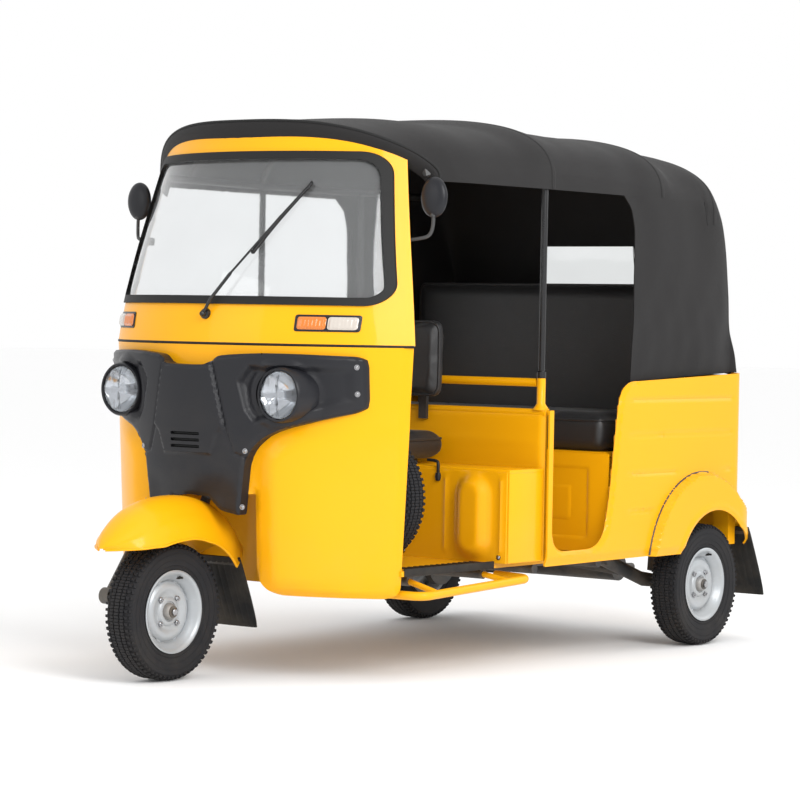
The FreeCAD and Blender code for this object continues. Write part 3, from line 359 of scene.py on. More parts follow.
@dataclass(frozen=True)
class ClearFinish:
    """One see-through finish.

    Attributes:
        tint: Colour of the sheet.
        rough: Roughness.
        through: Transmission weight.
        ripple: Depth of the slight ripple, in metres.
        ior: Index of refraction.
    """

    tint: Colour
    rough: float = 0.02
    through: float = 1.0
    ripple: float = 0.0
    ior: float = 1.45

    def build(self, name: str, effects: Effects) -> bpy.types.Material:
        """Build the material.

        Args:
            name: The material's name.
            effects: The shared groups.

        Returns:
            The material.
        """
        material, shader, surface = blank_material(name)
        tone = effects.place(shader, Effect.TONE, Scale=5.0, Spread=0.5).outputs[0]
        deep = tuple(c * 0.86 for c in self.tint)
        shader.fill(
            surface, Transmission_Weight=self.through, IOR=self.ior,
            Base_Color=shader.mix(tone, (*self.tint, 1), (*deep, 1)),
            Roughness=shader.maths("MULTIPLY_ADD", tone, 0.03, self.rough)
        )
        if self.ripple:
            wide = effects.place(shader, Effect.TONE, Scale=7.0, Spread=1.0).outputs[0]
            bump = shader.add("Bump", Height=wide, Distance=self.ripple)
            shader.put(surface.inputs["Normal"], bump.outputs[0])
        return material


def blank_material(name: str) -> tuple[bpy.types.Material, Shader, bpy.types.Node]:
    """Make an empty node material.

    Args:
        name: The material's name.

    Returns:
        The material, its helper and its surface shader.
    """
    material = bpy.data.materials.new(name)
    material.use_nodes = True
    surface = material.node_tree.nodes["Principled BSDF"]
    return material, Shader(material.node_tree), surface


class Coat(Enum):
    """Every finish on the vehicle."""

    YELLOW = Finish(
        (0.93, 0.43, 0.002), (0.89, 0.38, 0.002), rough=0.38, coat=0.22, coat_rough=0.06, specular=0.15,
        dust=0.10, dust_top=0.5, calm=0.62
    )
    BLACK_PLASTIC = Finish(
        (0.010, 0.0103, 0.013), (0.015, 0.0155, 0.019), rough=0.34, specular=0.28, grain=1400.0,
        grain_depth=0.00012, dust=0.1, dust_top=0.9
    )
    GLOSS_BLACK = Finish(
        (0.009, 0.009, 0.010), (0.015, 0.015, 0.016), rough=0.25, coat=0.3, coat_rough=0.08, specular=0.3,
        scuff=0.1
    )
    BLACK_STEEL = Finish(
        (0.022, 0.022, 0.023), (0.035, 0.034, 0.033), rough=0.5, coat=0.2, coat_rough=0.25, dust=0.5,
        dust_top=0.7, scuff=0.3
    )
    RUBBER = Finish(
        (0.009, 0.009, 0.009), (0.015, 0.015, 0.015), rough=0.60, specular=0.25, grain=600.0,
        grain_depth=0.0001, dust=0.18, dust_top=0.6
    )
    TYRE = Finish(
        (0.010, 0.010, 0.012), (0.017, 0.017, 0.019), rough=0.78, specular=0.3, grain=500.0,
        grain_depth=0.00018, dust=0.05, dust_top=0.5
    )
    SILVER = Finish(
        (0.50, 0.53, 0.55), (0.34, 0.36, 0.38), spread=1.0, rough=0.42, metal=0.35, coat=0.4,
        coat_rough=0.15, dust=0.3, dust_top=0.45, scuff=0.25
    )
    BRIGHT = Finish((0.40, 0.40, 0.41), (0.32, 0.32, 0.33), rough=0.22, metal=1.0, scuff=0.25)
    HOOD = Finish(
        (0.0115, 0.0112, 0.0115), (0.018, 0.0165, 0.0165), rough=0.58, grain=520.0, grain_depth=0.0002,
        weave=420.0, scuff=0.05, specular=0.22
    )
    SEAT = Finish(
        (0.009, 0.009, 0.010), (0.016, 0.016, 0.017), rough=0.46, grain=420.0, grain_depth=0.0004,
        scuff=0.2, sheen=0.08
    )
    CAST = Finish(
        (0.42, 0.42, 0.42), (0.30, 0.30, 0.30), rough=0.55, metal=0.8, grain=900.0, grain_depth=0.0002,
        dust=0.5, dust_top=0.8
    )
    AMBER = Finish((0.70, 0.20, 0.010), (0.58, 0.14, 0.008), rough=0.12, specular=0.3, coat=1.0)
    RED = Finish((0.45, 0.008, 0.008), (0.36, 0.006, 0.006), rough=0.12, coat=1.0)
    MIRROR = Finish((0.60, 0.62, 0.64), (0.50, 0.52, 0.54), rough=0.1, metal=1.0)
    PALE_LENS = Finish((0.56, 0.51, 0.46), (0.46, 0.41, 0.36), rough=0.12, coat=1.0)
    GLASS = ClearFinish((0.90, 0.92, 0.93), through=0.93)
    LENS = ClearFinish((0.97, 0.98, 1.0))
    CLEAR_SHEET = ClearFinish((0.86, 0.88, 0.88), rough=0.1, ripple=0.004)


class Finishes:
    """Builds each finish's material when a piece first asks for it."""

    def __init__(self) -> None:
        """Build the shared effects."""
        self.effects = Effects()
        self.made: dict[Coat, bpy.types.Material] = {}

    def get(self, coat: Coat) -> bpy.types.Material:
        """Return the material of one finish."""
        if coat not in self.made:
            name = coat.name.lower().replace("_", " ")
            self.made[coat] = coat.value.build(name, self.effects)
        return self.made[coat]


# ---- The studio ----


def linked(name: str, data: bpy.types.ID) -> bpy.types.Object:
    """Return a new object of the data, put in the scene."""
    made = bpy.data.objects.new(name, data)
    bpy.context.scene.collection.objects.link(made)
    return made


@dataclass
class Studio:
    """The camera, the lights and the pale floor.

    Attributes:
        camera_at: Camera's place.
        heading: Turn of the view from +Y towards -X, in degrees.
        dip: How far the view looks down, in degrees.
        roll: Turn about the view, in degrees.
        lens: Focal length on a 36 mm sensor, in millimetres.
    """

    camera_at: Vector = Vector((5.7378, -7.3740, 1.0628))
    heading: float = 37.61
    dip: float = 1.55
    roll: float = 1.04
    lens: float = 131.36

    def build(self) -> None:
        """Build everything that isn't part of the vehicle."""
        self._camera()
        self._lights()
        self._floor()
        bpy.context.scene.view_settings.view_transform = "Standard"
        LOG.info("studio ready")

    def _camera(self) -> None:
        """Place the camera."""
        data = bpy.data.cameras.new("camera")
        data.lens = self.lens
        data.sensor_width = 36.0
        data.clip_end = 200.0
        camera = linked("camera", data)
        turn = (
            Matrix.Rotation(math.radians(self.heading), 4, "Z")
            @ Matrix.Rotation(math.radians(90.0 - self.dip), 4, "X")
            @ Matrix.Rotation(math.radians(self.roll), 4, "Z")
        )
        camera.matrix_world = Matrix.Translation(self.camera_at) @ turn
        bpy.context.scene.camera = camera

    def _lights(self) -> None:
        """Hang the soft boxes and set the room's light."""
        self._softbox("key", (4.6, -2.2, 3.4), (0.3, -0.6, 0.8), (2.4, 3.0), 185.0)
        self._softbox("front", (-1.6, -6.0, 2.6), (0.0, -0.8, 0.9), (3.0, 2.4), 30.0)
        self._softbox("top", (0.4, 0.4, 5.2), (0.0, 0.2, 0.6), (4.5, 5.5), 25.0)
        self._softbox("rear", (2.4, 5.0, 2.8), (0.2, 0.8, 0.9), (2.4, 2.4), 25.0)
        world = bpy.data.worlds.new("room")
        world.use_nodes = True
        light = world.node_tree.nodes["Background"]
        Shader(world.node_tree).fill(light, Color=(1.0, 1.0, 1.0, 1.0), Strength=1.0)
        bpy.context.scene.world = world

    def _softbox(
        self, name: str, place: tuple[float, float, float], aim: tuple[float, float, float],
        size: tuple[float, float], power: float
    ) -> None:
        """Hang one rectangular light.

        Args:
            name: The light's name.
            place: Where it hangs.
            aim: The point that it faces.
            size: Its width and height.
            power: Its power in watts.
        """
        data = bpy.data.lights.new(name, "AREA")
        data.shape = "RECTANGLE"
        data.size, data.size_y = size
        data.energy = power
        light = linked(name, data)
        way = Vector(aim) - Vector(place)
        turn = way.to_track_quat("-Z", "Y").to_matrix().to_4x4()
        light.matrix_world = Matrix.Translation(Vector(place)) @ turn

    def _floor(self) -> None:
        """Lay the floor."""
        bm = bmesh.new()
        bmesh.ops.create_grid(bm, x_segments=1, y_segments=1, size=60.0)
        mesh = bpy.data.meshes.new("floor")
        bm.to_mesh(mesh)
        bm.free()
        floor = linked("floor", mesh)
        material, shader, surface = blank_material("floor paint")
        shader.fill(surface, Base_Color=(0.98, 0.98, 0.98, 1.0), Roughness=0.9, Specular_IOR_Level=0.1)
        mesh.materials.append(material)


# ---- The workbench: shapes that every piece is made from ----


Place = Callable[[float, float], Vector]
Points = Sequence[Sequence[float]]


def smooth(value: float) -> float:
    """Ease a share of 0 to 1, clamped."""
    value = min(1.0, max(0.0, value))
    return value * value * (3.0 - 2.0 * value)


def between(low: float, high: float, value: float) -> float:
    """Return the eased share of the way from low to high."""
    return smooth((value - low) / (high - low))


def line_distance(x: float, z: float, a: Sequence[float], b: Sequence[float]) -> float:
    """Return the distance from a point to a straight run."""
    run_x, run_z = b[0] - a[0], b[1] - a[1]
    length = run_x**2 + run_z**2
    share = ((x - a[0]) * run_x + (z - a[1]) * run_z) / length if length else 0.0
    share = min(1.0, max(0.0, share))
    return math.hypot(x - a[0] - share * run_x, z - a[1] - share * run_z)


def path_distance(x: float, z: float, points: Points) -> float:
    """Return the distance from a point to a chain of straight runs."""
    return min(line_distance(x, z, a, b) for a, b in zip(points, points[1:]))


def depth_inside(x: float, z: float, points: Points) -> float:
    """Return how far a point is inside a closed outline, negative outside it."""
    inside = False
    closed = [*points, points[0]]
    for (ax, az), (bx, bz) in zip(closed, closed[1:]):
        if (az > z) != (bz > z) and x < (bx - ax) * (z - az) / (bz - az) + ax:
            inside = not inside
    distance = path_distance(x, z, closed)
    return distance if inside else -distance


def curve_through(rows: Points) -> Callable[[float], list[float]]:
    """Return a smooth curve through rows of numbers that never overshoots them.

    Args:
        rows: Rows whose first number always grows.

    Returns:
        A function from the first number to the whole row.
    """
    steps = [b[0] - a[0] for a, b in zip(rows, rows[1:])]
    slopes = [[(q - p) / step for p, q in zip(a, b)] for a, b, step in zip(rows, rows[1:], steps)]
    tangents = [slopes[0]]
    for before, after in zip(slopes, slopes[1:]):
        tangents.append([2 * p * q / (p + q) if p * q > 0 else 0.0 for p, q in zip(before, after)])
    tangents.append(slopes[-1])

    def at(value: float) -> list[float]:
        """Return the row at a value of the first number."""
        index = max(0, sum(row[0] <= value for row in rows[1:-1]))
        step = steps[index]
        t = min(1.0, max(0.0, (value - rows[index][0]) / step))
        a, b = rows[index], rows[index + 1]
        m, n = tangents[index], tangents[index + 1]
        return [
            (2 * t**3 - 3 * t**2 + 1) * p
            + (t**3 - 2 * t**2 + t) * step * u
            + (3 * t**2 - 2 * t**3) * q
            + (t**3 - t**2) * step * v
            for p, q, u, v in zip(a, b, m, n)
        ]

    return at


@dataclass(frozen=True)
class Corner:
    """One corner of a flat outline, in metres, with its rounding."""

    x: float
    z: float
    round: float = 0.0


def corners(points: Points) -> list[Corner]:
    """Return corners from rows of x, z and an optional rounding in millimetres."""
    return [Corner(*(value * 0.001 for value in point)) for point in points]


def rectangle(
    low_x: float, low_z: float, high_x: float, high_z: float, round_by: float = 0.0
) -> list[Corner]:
    """Return a rectangular outline, in metres."""
    return [
        Corner(low_x, low_z, round_by), Corner(high_x, low_z, round_by), Corner(high_x, high_z, round_by),
        Corner(low_x, high_z, round_by)
    ]


def arc(x: float, z: float, radius: float, degrees: Sequence[float]) -> list[Corner]:
    """Return corners at some angles round a middle."""
    turns = [math.radians(step) for step in degrees]
    return [Corner(x + radius * math.cos(turn), z + radius * math.sin(turn)) for turn in turns]


def flipped(outline: Sequence[Corner]) -> list[Corner]:
    """Return the same outline on the other side of the centre."""
    return [Corner(-c.x, c.z, c.round) for c in reversed(outline)]


def eased(points: Sequence[Corner], steps: int = 8) -> list[Corner]:
    """Return an outline whose rounded corners are runs of short edges.

    Args:
        points: Corners, whose rounding is how far back it starts.
        steps: Edges in one rounding.

    Returns:
        The outline, without roundings left to make.
    """
    made = []
    for index, corner in enumerate(points):
        here, ends = Vector((corner.x, corner.z)), []
        for other in (points[index - 1], points[(index + 1) % len(points)]):
            way = Vector((other.x, other.z)) - here
            ends.append(here + way.normalized() * min(corner.round, way.length * 0.49))
        for step in range(steps + 1 if corner.round else 1):
            share = step / steps
            spot = ends[0].lerp(here, share).lerp(here.lerp(ends[1], share), share)
            made.append(Corner(spot.x, spot.y))
    return made


class Shape:
    """A mesh in the making, whose parts may have different finishes."""

    def __init__(self) -> None:
        """Start with nothing."""
        self.whole = bmesh.new()

    def add(self, part: bmesh.types.BMesh, finish: int = 0) -> "Shape":
        """Take in one part and free it.

        Args:
            part: The part.
            finish: Index of its finish.

        Returns:
            The shape, for the next call.
        """
        for face in part.faces:
            face.material_index = finish
        mesh = bpy.data.meshes.new("part")
        part.to_mesh(mesh)
        part.free()
        self.whole.from_mesh(mesh)
        bpy.data.meshes.remove(mesh)
        return self

    def mirrored(self) -> "Shape":
        """Add the same again on the other side of the centre."""
        bmesh.ops.mirror(
            self.whole, geom=[*self.whole.verts, *self.whole.edges, *self.whole.faces], axis="X",
            merge_dist=-1.0
        )
        return self


def outward(bm: bmesh.types.BMesh, merge: float = 0.0) -> None:
    """Merge points nearer than a distance and point the faces outwards."""
    if merge:
        bmesh.ops.remove_doubles(bm, verts=list(bm.verts), dist=merge)
    bmesh.ops.recalc_face_normals(bm, faces=list(bm.faces))


def move(bm: bmesh.types.BMesh, matrix: Matrix) -> None:
    """Move every point by a matrix."""
    bmesh.ops.transform(bm, matrix=matrix, verts=list(bm.verts))


def thicken(bm: bmesh.types.BMesh, thickness: float) -> None:
    """Give a sheet its thickness, inwards."""
    bmesh.ops.solidify(bm, geom=list(bm.faces), thickness=thickness)


def reverse(bm: bmesh.types.BMesh) -> None:
    """Turn every face round."""
    bmesh.ops.reverse_faces(bm, faces=list(bm.faces))


def surface(across: int, along: int, place: Place) -> bmesh.types.BMesh:
    """Lay a grid on a surface.

    Args:
        across: Squares across, where the first share runs from 0 to 1.
        along: Squares along, where the second share runs from 0 to 1.
        place: Where a point of the two shares goes.

    Returns:
        The laid grid.
    """
    bm = bmesh.new()
    bmesh.ops.create_grid(bm, x_segments=across, y_segments=along, size=0.5)
    for vert in bm.verts:
        vert.co = place(vert.co.x + 0.5, vert.co.y + 0.5)
    outward(bm)
    return bm


def turned(
    profile: Points, at: Sequence[float] = (0, 0, 0), way: Sequence[float] = (0, 0, 1), steps: int = 32
) -> bmesh.types.BMesh:
    """Turn a profile about an axis.

    Args:
        profile: Rows of radius and height along the axis, in metres.
        at: Where the axis starts.
        way: Direction of the axis.
        steps: Faces in one turn.

    Returns:
        The turned part, its faces outwards.
    """
    bm = bmesh.new()
    verts = [bm.verts.new((max(r, 0.0), 0.0, h)) for r, h in profile]
    edges = [bm.edges.new(pair) for pair in zip(verts, verts[1:])]
    bmesh.ops.spin(
        bm, geom=[*verts, *edges], cent=(0, 0, 0), axis=(0, 0, 1), angle=math.tau, steps=steps,
        use_merge=True
    )
    outward(bm, 1e-6)
    turn = Vector(way).to_track_quat("Z", "Y").to_matrix().to_4x4()
    move(bm, Matrix.Translation(at) @ turn)
    return bm


def screw(at: Sequence[float], way: Sequence[float], radius: float = 0.006) -> bmesh.types.BMesh:
    """Make a domed screw head on its washer, with a cross recess's dimple."""
    profile = [
        (0.0, 0.25), (0.28, 0.3), (0.34, 0.62), (0.7, 0.5), (0.95, 0.22), (0.98, 0.12), (1.35, 0.1),
        (1.38, -0.1)
    ]
    return turned([(r * radius, h * radius) for r, h in profile], at, way, 14)


def hex_bolt(at: Sequence[float], way: Sequence[float], radius: float = 0.009) -> bmesh.types.BMesh:
    """Make a six-sided bolt head with a chamfer, on a collar."""
    profile = [(0.0, 0.95), (0.75, 0.95), (1.0, 0.78), (1.0, 0.0), (1.25, -0.1)]
    return turned([(r * radius, h * radius) for r, h in profile], at, way, 6)


def tube(points: Points, radius: float, smoothed: bool = True, closed: bool = False) -> bmesh.types.BMesh:
    """Run a round bar along a line.

    Args:
        points: The line's points.
        radius: Radius of the bar.
        smoothed: Whether the line curves through its corners.
        closed: Whether the line joins its own start.

    Returns:
        The bar with closed ends.
    """
    data = bpy.data.curves.new("line", "CURVE")
    data.dimensions = "3D"
    data.bevel_depth = radius
    data.bevel_resolution = 3
    data.use_fill_caps = True
    data.resolution_u = 6
    spline = data.splines.new("NURBS" if smoothed else "POLY")
    spline.points.add(len(points) - 1)
    for point, co in zip(spline.points, points):
        point.co = (*co, 1.0)
    if smoothed:
        spline.order_u = 3
        spline.use_endpoint_u = not closed
    spline.use_cyclic_u = closed
    line = bpy.data.objects.new("line", data)
    mesh = bpy.data.meshes.new_from_object(line)
    bm = bmesh.new()
    bm.from_mesh(mesh)
    bpy.data.objects.remove(line)
    bpy.data.curves.remove(data)
    bpy.data.meshes.remove(mesh)
    outward(bm, 1e-6)
    return bm


def block(
    low: Sequence[float], high: Sequence[float], edge: float = 0.003, cuts: int = 0
) -> bmesh.types.BMesh:
    """Make a box with rounded edges.

    Args:
        low: Its lowest corner.
        high: Its highest corner.
        edge: Radius of its edges.
        cuts: Times that each edge is divided after rounding.

    Returns:
        The box.
    """
    bm = bmesh.new()
    bmesh.ops.create_cube(bm, size=1.0)
    low, high = Vector(low), Vector(high)
    bmesh.ops.scale(bm, vec=high - low, verts=list(bm.verts))
    bmesh.ops.translate(bm, vec=(low + high) / 2, verts=list(bm.verts))
    bmesh.ops.bevel(
        bm, geom=list(bm.edges), offset=edge, segments=3, profile=0.5, affect="EDGES", material=-1
    )
    if cuts:
        bmesh.ops.subdivide_edges(bm, edges=list(bm.edges), cuts=cuts, use_grid_fill=True)
    return bm


# ---- Pressed sheets ----


class Skin:
    """A surface that a flat plate is laid on."""

    def lay(self, x: float, z: float, height: float) -> Vector:
        """Return the place of a flat point raised by a height."""
        raise NotImplementedError


@dataclass
class CabSkin(Skin):
    """The cab's curved front, one arc at each level from door edge to door edge.

    Attributes:
        rows: Level, nose station, half width and door-edge station.
        proud: How far outside the cab the skin lies.
    """

    proud: float = 0.0
    rows: tuple[tuple[float, float, float, float], ...] = (
        (0.247, 0.150, 0.543, 0.428), (0.990, 0.117, 0.583, 0.428), (1.112, 0.137, 0.565, 0.440),
        (1.301, 0.190, 0.530, 0.465), (1.640, 0.312, 0.463, 0.526)
    )

    def row(self, level: float) -> tuple[float, float, float]:
        """Return the nose, half width and edge at a level."""
        pairs = list(zip(self.rows, self.rows[1:]))
        low, high = next((p for p in pairs if level <= p[1][0]), pairs[-1])
        share = (level - low[0]) / (high[0] - low[0])
        nose, half, edge = (a + (b - a) * share for a, b in zip(low[1:], high[1:]))
        return nose, half, edge

    def lay(self, x: float, z: float, height: float) -> Vector:
        """Return the place on the cab of a point seen from the front."""
        nose, half, edge = self.row(z)
        radius = (half**2 + (edge - nose) ** 2) / (2 * (edge - nose))
        depth = math.sqrt(max(radius**2 - x**2, 1e-6))
        out = Vector((x, -depth, 0.0)) / radius
        base = Vector((x, station(nose + radius - depth), z))
        return base + out * (height + self.proud)


def no_relief(x: float, z: float) -> float:
    """Return a flat plate's height."""
    return 0.0


@dataclass
class Plate:
    """A pressed sheet: an outline filled flat, given a relief and laid on a skin.

    Attributes:
        outline: Its corners in order.
        skin: The surface that it is laid on.
        cell: Width of the squares that it is divided into.
        thick: Thickness of the sheet, inwards.
        holes: Outlines of its openings.
        relief: Height of the pressing over the flat plate.
    """

    outline: Sequence[Corner]
    skin: Skin
    cell: float = 0.012
    thick: float = 0.003
    holes: Sequence[Sequence[Corner]] = ()
    relief: Callable[[float, float], float] = no_relief

    def build(self) -> bmesh.types.BMesh:
        """Fill, divide, press and lay the plate, and give it its thickness."""
        bm = bmesh.new()
        for loop in (self.outline, *self.holes):
            self._loop(bm, loop)
        bmesh.ops.delete(bm, geom=list(bm.faces), context="FACES_ONLY")
        bmesh.ops.triangle_fill(bm, edges=list(bm.edges), use_beauty=True)
        self._slice(bm)
        flat = [(vert.co.x, vert.co.z) for vert in bm.verts]
        for vert, (x, z) in zip(bm.verts, flat):
            vert.co = self.skin.lay(x, z, self.relief(x, z))
        outward(bm)
        x, z = flat[0]
        bm.verts.ensure_lookup_table()
        bm.normal_update()
        way = self.skin.lay(x, z, 0.01) - self.skin.lay(x, z, 0.0)
        if bm.verts[0].normal.dot(way) < 0:
            reverse(bm)
        if self.thick:
            thicken(bm, self.thick)
        return bm

    def _loop(self, bm: bmesh.types.BMesh, loop: Sequence[Corner]) -> None:
        """Add one closed outline and round its corners."""
        verts = [bm.verts.new((c.x, 0.0, c.z)) for c in loop]
        bm.faces.new(verts)
        rounds: dict[float, list[bmesh.types.BMVert]] = {}
        for vert, corner in zip(verts, loop):
            if corner.round:
                rounds.setdefault(corner.round, []).append(vert)
        for amount, group in rounds.items():
            bmesh.ops.bevel(
                bm, geom=group, offset=amount, segments=max(3, round(amount / 0.005)), profile=0.5,
                affect="VERTICES", material=-1
            )

    def _slice(self, bm: bmesh.types.BMesh) -> None:
        """Divide the filled plate into squares and drop the fill's diagonals."""
        for axis in (0, 2):
            places = [v.co[axis] for v in bm.verts]
            low, high = min(places), max(places)
            count = max(1, round((high - low) / self.cell))
            normal = Vector((1, 0, 0)) if axis == 0 else Vector((0, 0, 1))
            for index in range(1, count):
                bmesh.ops.bisect_plane(
                    bm, geom=[*bm.verts, *bm.edges, *bm.faces], dist=1e-6,
                    plane_co=normal * (low + (high - low) * index / count), plane_no=normal
                )
        slanted = [
            edge
            for edge in bm.edges
            if len(edge.link_faces) == 2
            and min(abs(edge.verts[0].co[i] - edge.verts[1].co[i]) for i in (0, 2)) > 1e-5
        ]
        bmesh.ops.dissolve_edges(bm, edges=slanted, use_verts=False)


# ---- Pieces ----


@dataclass
class Workshop:
    """Turns shapes into pieces that ride on the frame.

    Attributes:
        finishes: The material store.
    """

    finishes: Finishes

    def piece(
        self, name: str, shape: Shape | bmesh.types.BMesh, coats: Sequence[Coat], body: str = "chassis",
        stands_for: Sequence[str] = (), crease: float = 38.0
    ) -> bpy.types.Object:
        """Finish one piece.

        Args:
            name: The piece's name.
            shape: Its mesh.
            coats: Its finishes, by material index.
            body: The body that it rides on.
            stands_for: The CAD nodes that it replaces.
            crease: Angle in degrees above which an edge looks sharp.

        Returns:
            The piece.
        """
        bm = shape.whole if isinstance(shape, Shape) else shape
        mesh = bpy.data.meshes.new(name)
        for face in bm.faces:
            face.smooth = True
        bm.to_mesh(mesh)
        bm.free()
        mesh.set_sharp_from_angle(angle=math.radians(crease))
        for coat in coats:
            mesh.materials.append(self.finishes.get(coat))
        made = linked(name, mesh)
        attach(made, body)
        if stands_for:
            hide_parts(*stands_for)
        LOG.info("%s: %d faces", name, len(mesh.polygons))
        return made


@dataclass
class Maker:
    """A builder of pieces in the workshop.

    Attributes:
        shop: The workshop.
    """

    shop: Workshop


# ---- The cab's front ----


@dataclass
class Cowl(Maker):
    """The yellow sheet of the nose, with a swollen leg shield on each side.

    Attributes:
        swell: How far a leg shield stands out behind its rolled edge.
        roll: Width of the rolled edge.
        turn_in: How far the very edge turns inwards.
        thick: Thickness of the sheet with its folded edges.
        seam: Radius of the rubber strip in the belt seam.
    """

    swell: float = 0.026
    roll: float = 0.075
    turn_in: float = 0.013
    thick: float = 0.011
    seam: float = 0.0045

    OUTLINE = corners((
        (200, 256, 86), (545, 247, 34), (583, 985), (-583, 985), (-545, 247, 34), (-200, 256, 86),
        (-200, 548), (200, 548)
    ))
    SHIELD = (
        (0.196, 0.200), (0.196, 0.640), (0.210, 0.690), (0.251, 0.728), (0.304, 0.756), (0.385, 0.780),
        (0.494, 0.806), (0.800, 0.840), (0.800, 0.200)
    )

    def relief(self, x: float, z: float) -> float:
        """Return the height of the pressing."""
        side = abs(x)
        depth = depth_inside(side, z, self.SHIELD)
        fade = 1.0 - 0.85 * between(0.27, 0.50, side)
        low = between(0.235, 0.31, z)
        height = self.swell * smooth(depth / self.roll) * fade * low
        edges = [(c.x, c.z) for c in self.OUTLINE]
        rim = min(line_distance(side, z, a, b) for a, b in (edges[0:2], edges[1:3], (edges[0], edges[7])))
        return height - self.turn_in * (1.0 - smooth(rim / 0.017))

    def build(self) -> None:
        """Build the cowl and the strip in its belt seam."""
        skin = CabSkin()
        sheet = Plate(self.OUTLINE, skin, 0.0105, self.thick, relief=self.relief)
        self.shop.piece("cowl", sheet.build(), [Coat.YELLOW], stands_for=["front_cowl"])
        run = [skin.lay(x / 20 * 0.581, 0.9875, -0.002) for x in range(-20, 21)]
        self.shop.piece("belt_seam", tube(run, self.seam), [Coat.RUBBER])


@dataclass
class Fascia(Maker):
    """The black moulding over the nose, with its vents and screws.

    Attributes:
        cell: Width of the squares of its surface.
        edge: Width of its rounded edge.
        panel_step: How far the middle panel stands out.
        bay: Depth of a lamp bay.
    """

    cell: float = 0.005
    edge: float = 0.010
    panel_step: float = 0.009
    bay: float = 0.024

    LEFT = (
        (0, 924), (84, 926, 20), (112, 952, 14), (200, 961, 60), (300, 963, 60), (508, 956, 30),
        (508, 800, 34), (385, 766, 60), (300, 742, 40), (240, 708, 30), (200, 655, 30), (188, 560, 40),
        (180, 486, 8), (112, 498, 14), (70, 536, 20), (0, 541)
    )
    PANEL = (
        (0.088, 0.960), (0.136, 0.745), (0.114, 0.728), (0.090, 0.664), (-0.090, 0.664), (-0.114, 0.728),
        (-0.136, 0.745), (-0.088, 0.960)
    )
    CREASE = ((0.090, 0.960), (0.140, 0.742), (0.166, 0.668), (0.215, 0.655))
    BAY = (
        (0.172, 0.880), (0.212, 0.932), (0.484, 0.930), (0.486, 0.826), (0.400, 0.797), (0.300, 0.776),
        (0.226, 0.752), (0.196, 0.790)
    )
    SCREWS = ((0.487, 0.926), (0.487, 0.848), (0.203, 0.676), (0.192, 0.512))
    VENTS = (0.684, 0.703, 0.722)

    def outline(self) -> list[Corner]:
        """Return the whole outline."""
        left = corners(self.LEFT)
        return left + flipped(left[1:-1])

    def relief(self, x: float, z: float) -> float:
        """Return the height of the moulding."""
        side = abs(x)
        height = -self.panel_step * (1.0 - smooth(depth_inside(x, z, self.PANEL) / 0.010 + 0.5))
        groove = path_distance(side, z, self.CREASE)
        height -= 0.004 * (1.0 - smooth(groove / 0.007))
        depth = depth_inside(side, z, self.BAY)
        fade = 1.0 - 0.72 * between(0.34, 0.47, side)
        height -= self.bay * fade * smooth(depth / 0.026)
        ring = math.hypot(side - Headlamps.X, z - Headlamps.Z)
        height += 0.010 * between(0.112, 0.086, ring) * fade
        height -= 0.010 * between(0.62, 0.53, z) * between(0.20, 0.12, side)
        rim = path_distance(side, z, self.rim)
        return height - 0.007 * (1.0 - smooth(rim / self.edge))

    def build(self) -> None:
        """Build the moulding."""
        rows = [(r[0], r[1] - 0.050, r[2] + 0.014, r[3]) for r in CabSkin().rows]
        skin = CabSkin(rows=tuple(rows))
        self.rim = [(c.x, c.z) for c in corners(self.LEFT)]
        plate = Plate(self.outline(), skin, self.cell, 0.0, self._holes(), self.relief)
        shape = Shape().add(self._walled(plate))
        for x, z in self.SCREWS:
            for side in (x, -x):
                place = skin.lay(side, z, self.relief(side, z))
                way = skin.lay(side, z, 0.1) - skin.lay(side, z, 0.0)
                shape.add(screw(place, way), 1)
        for z in self.VENTS:
            back = [skin.lay(x / 8 * 0.06, z, -0.016) for x in range(-8, 9)]
            shape.add(tube(back, 0.007), 2)
        self.shop.piece(
            "fascia", shape, [Coat.BLACK_PLASTIC, Coat.BRIGHT, Coat.RUBBER], stands_for=["front_fascia"]
        )

    def _holes(self) -> list[list[Corner]]:
        """Return the outlines of the vents and the lamps."""
        holes = [rectangle(-0.056, z - 0.0045, 0.056, z + 0.0045, 0.003) for z in self.VENTS]
        for side in (-1, 1):
            holes.append(arc(side * Headlamps.X, Headlamps.Z, 0.078, range(0, 360, 9)))
        return holes

    def _walled(self, plate: Plate) -> bmesh.types.BMesh:
        """Return the plate with walls drawn back from its open edges.

        Args:
            plate: The moulding's face.

        Returns:
            The face with its walls.
        """
        bm = plate.build()
        rims = [edge for edge in bm.edges if edge.is_boundary]
        grown = bmesh.ops.extrude_edge_only(bm, edges=rims)["geom"]
        skin = CabSkin()
        for vert in grown:
            if isinstance(vert, bmesh.types.BMVert):
                vent = abs(vert.co.x) < 0.06 and 0.67 < vert.co.z < 0.74
                lamp = math.hypot(abs(vert.co.x) - Headlamps.X, vert.co.z - Headlamps.Z)
                if vent or lamp < 0.085:
                    vert.co.y += 0.012
                else:
                    vert.co = skin.lay(vert.co.x, vert.co.z, -0.001)
        return bm


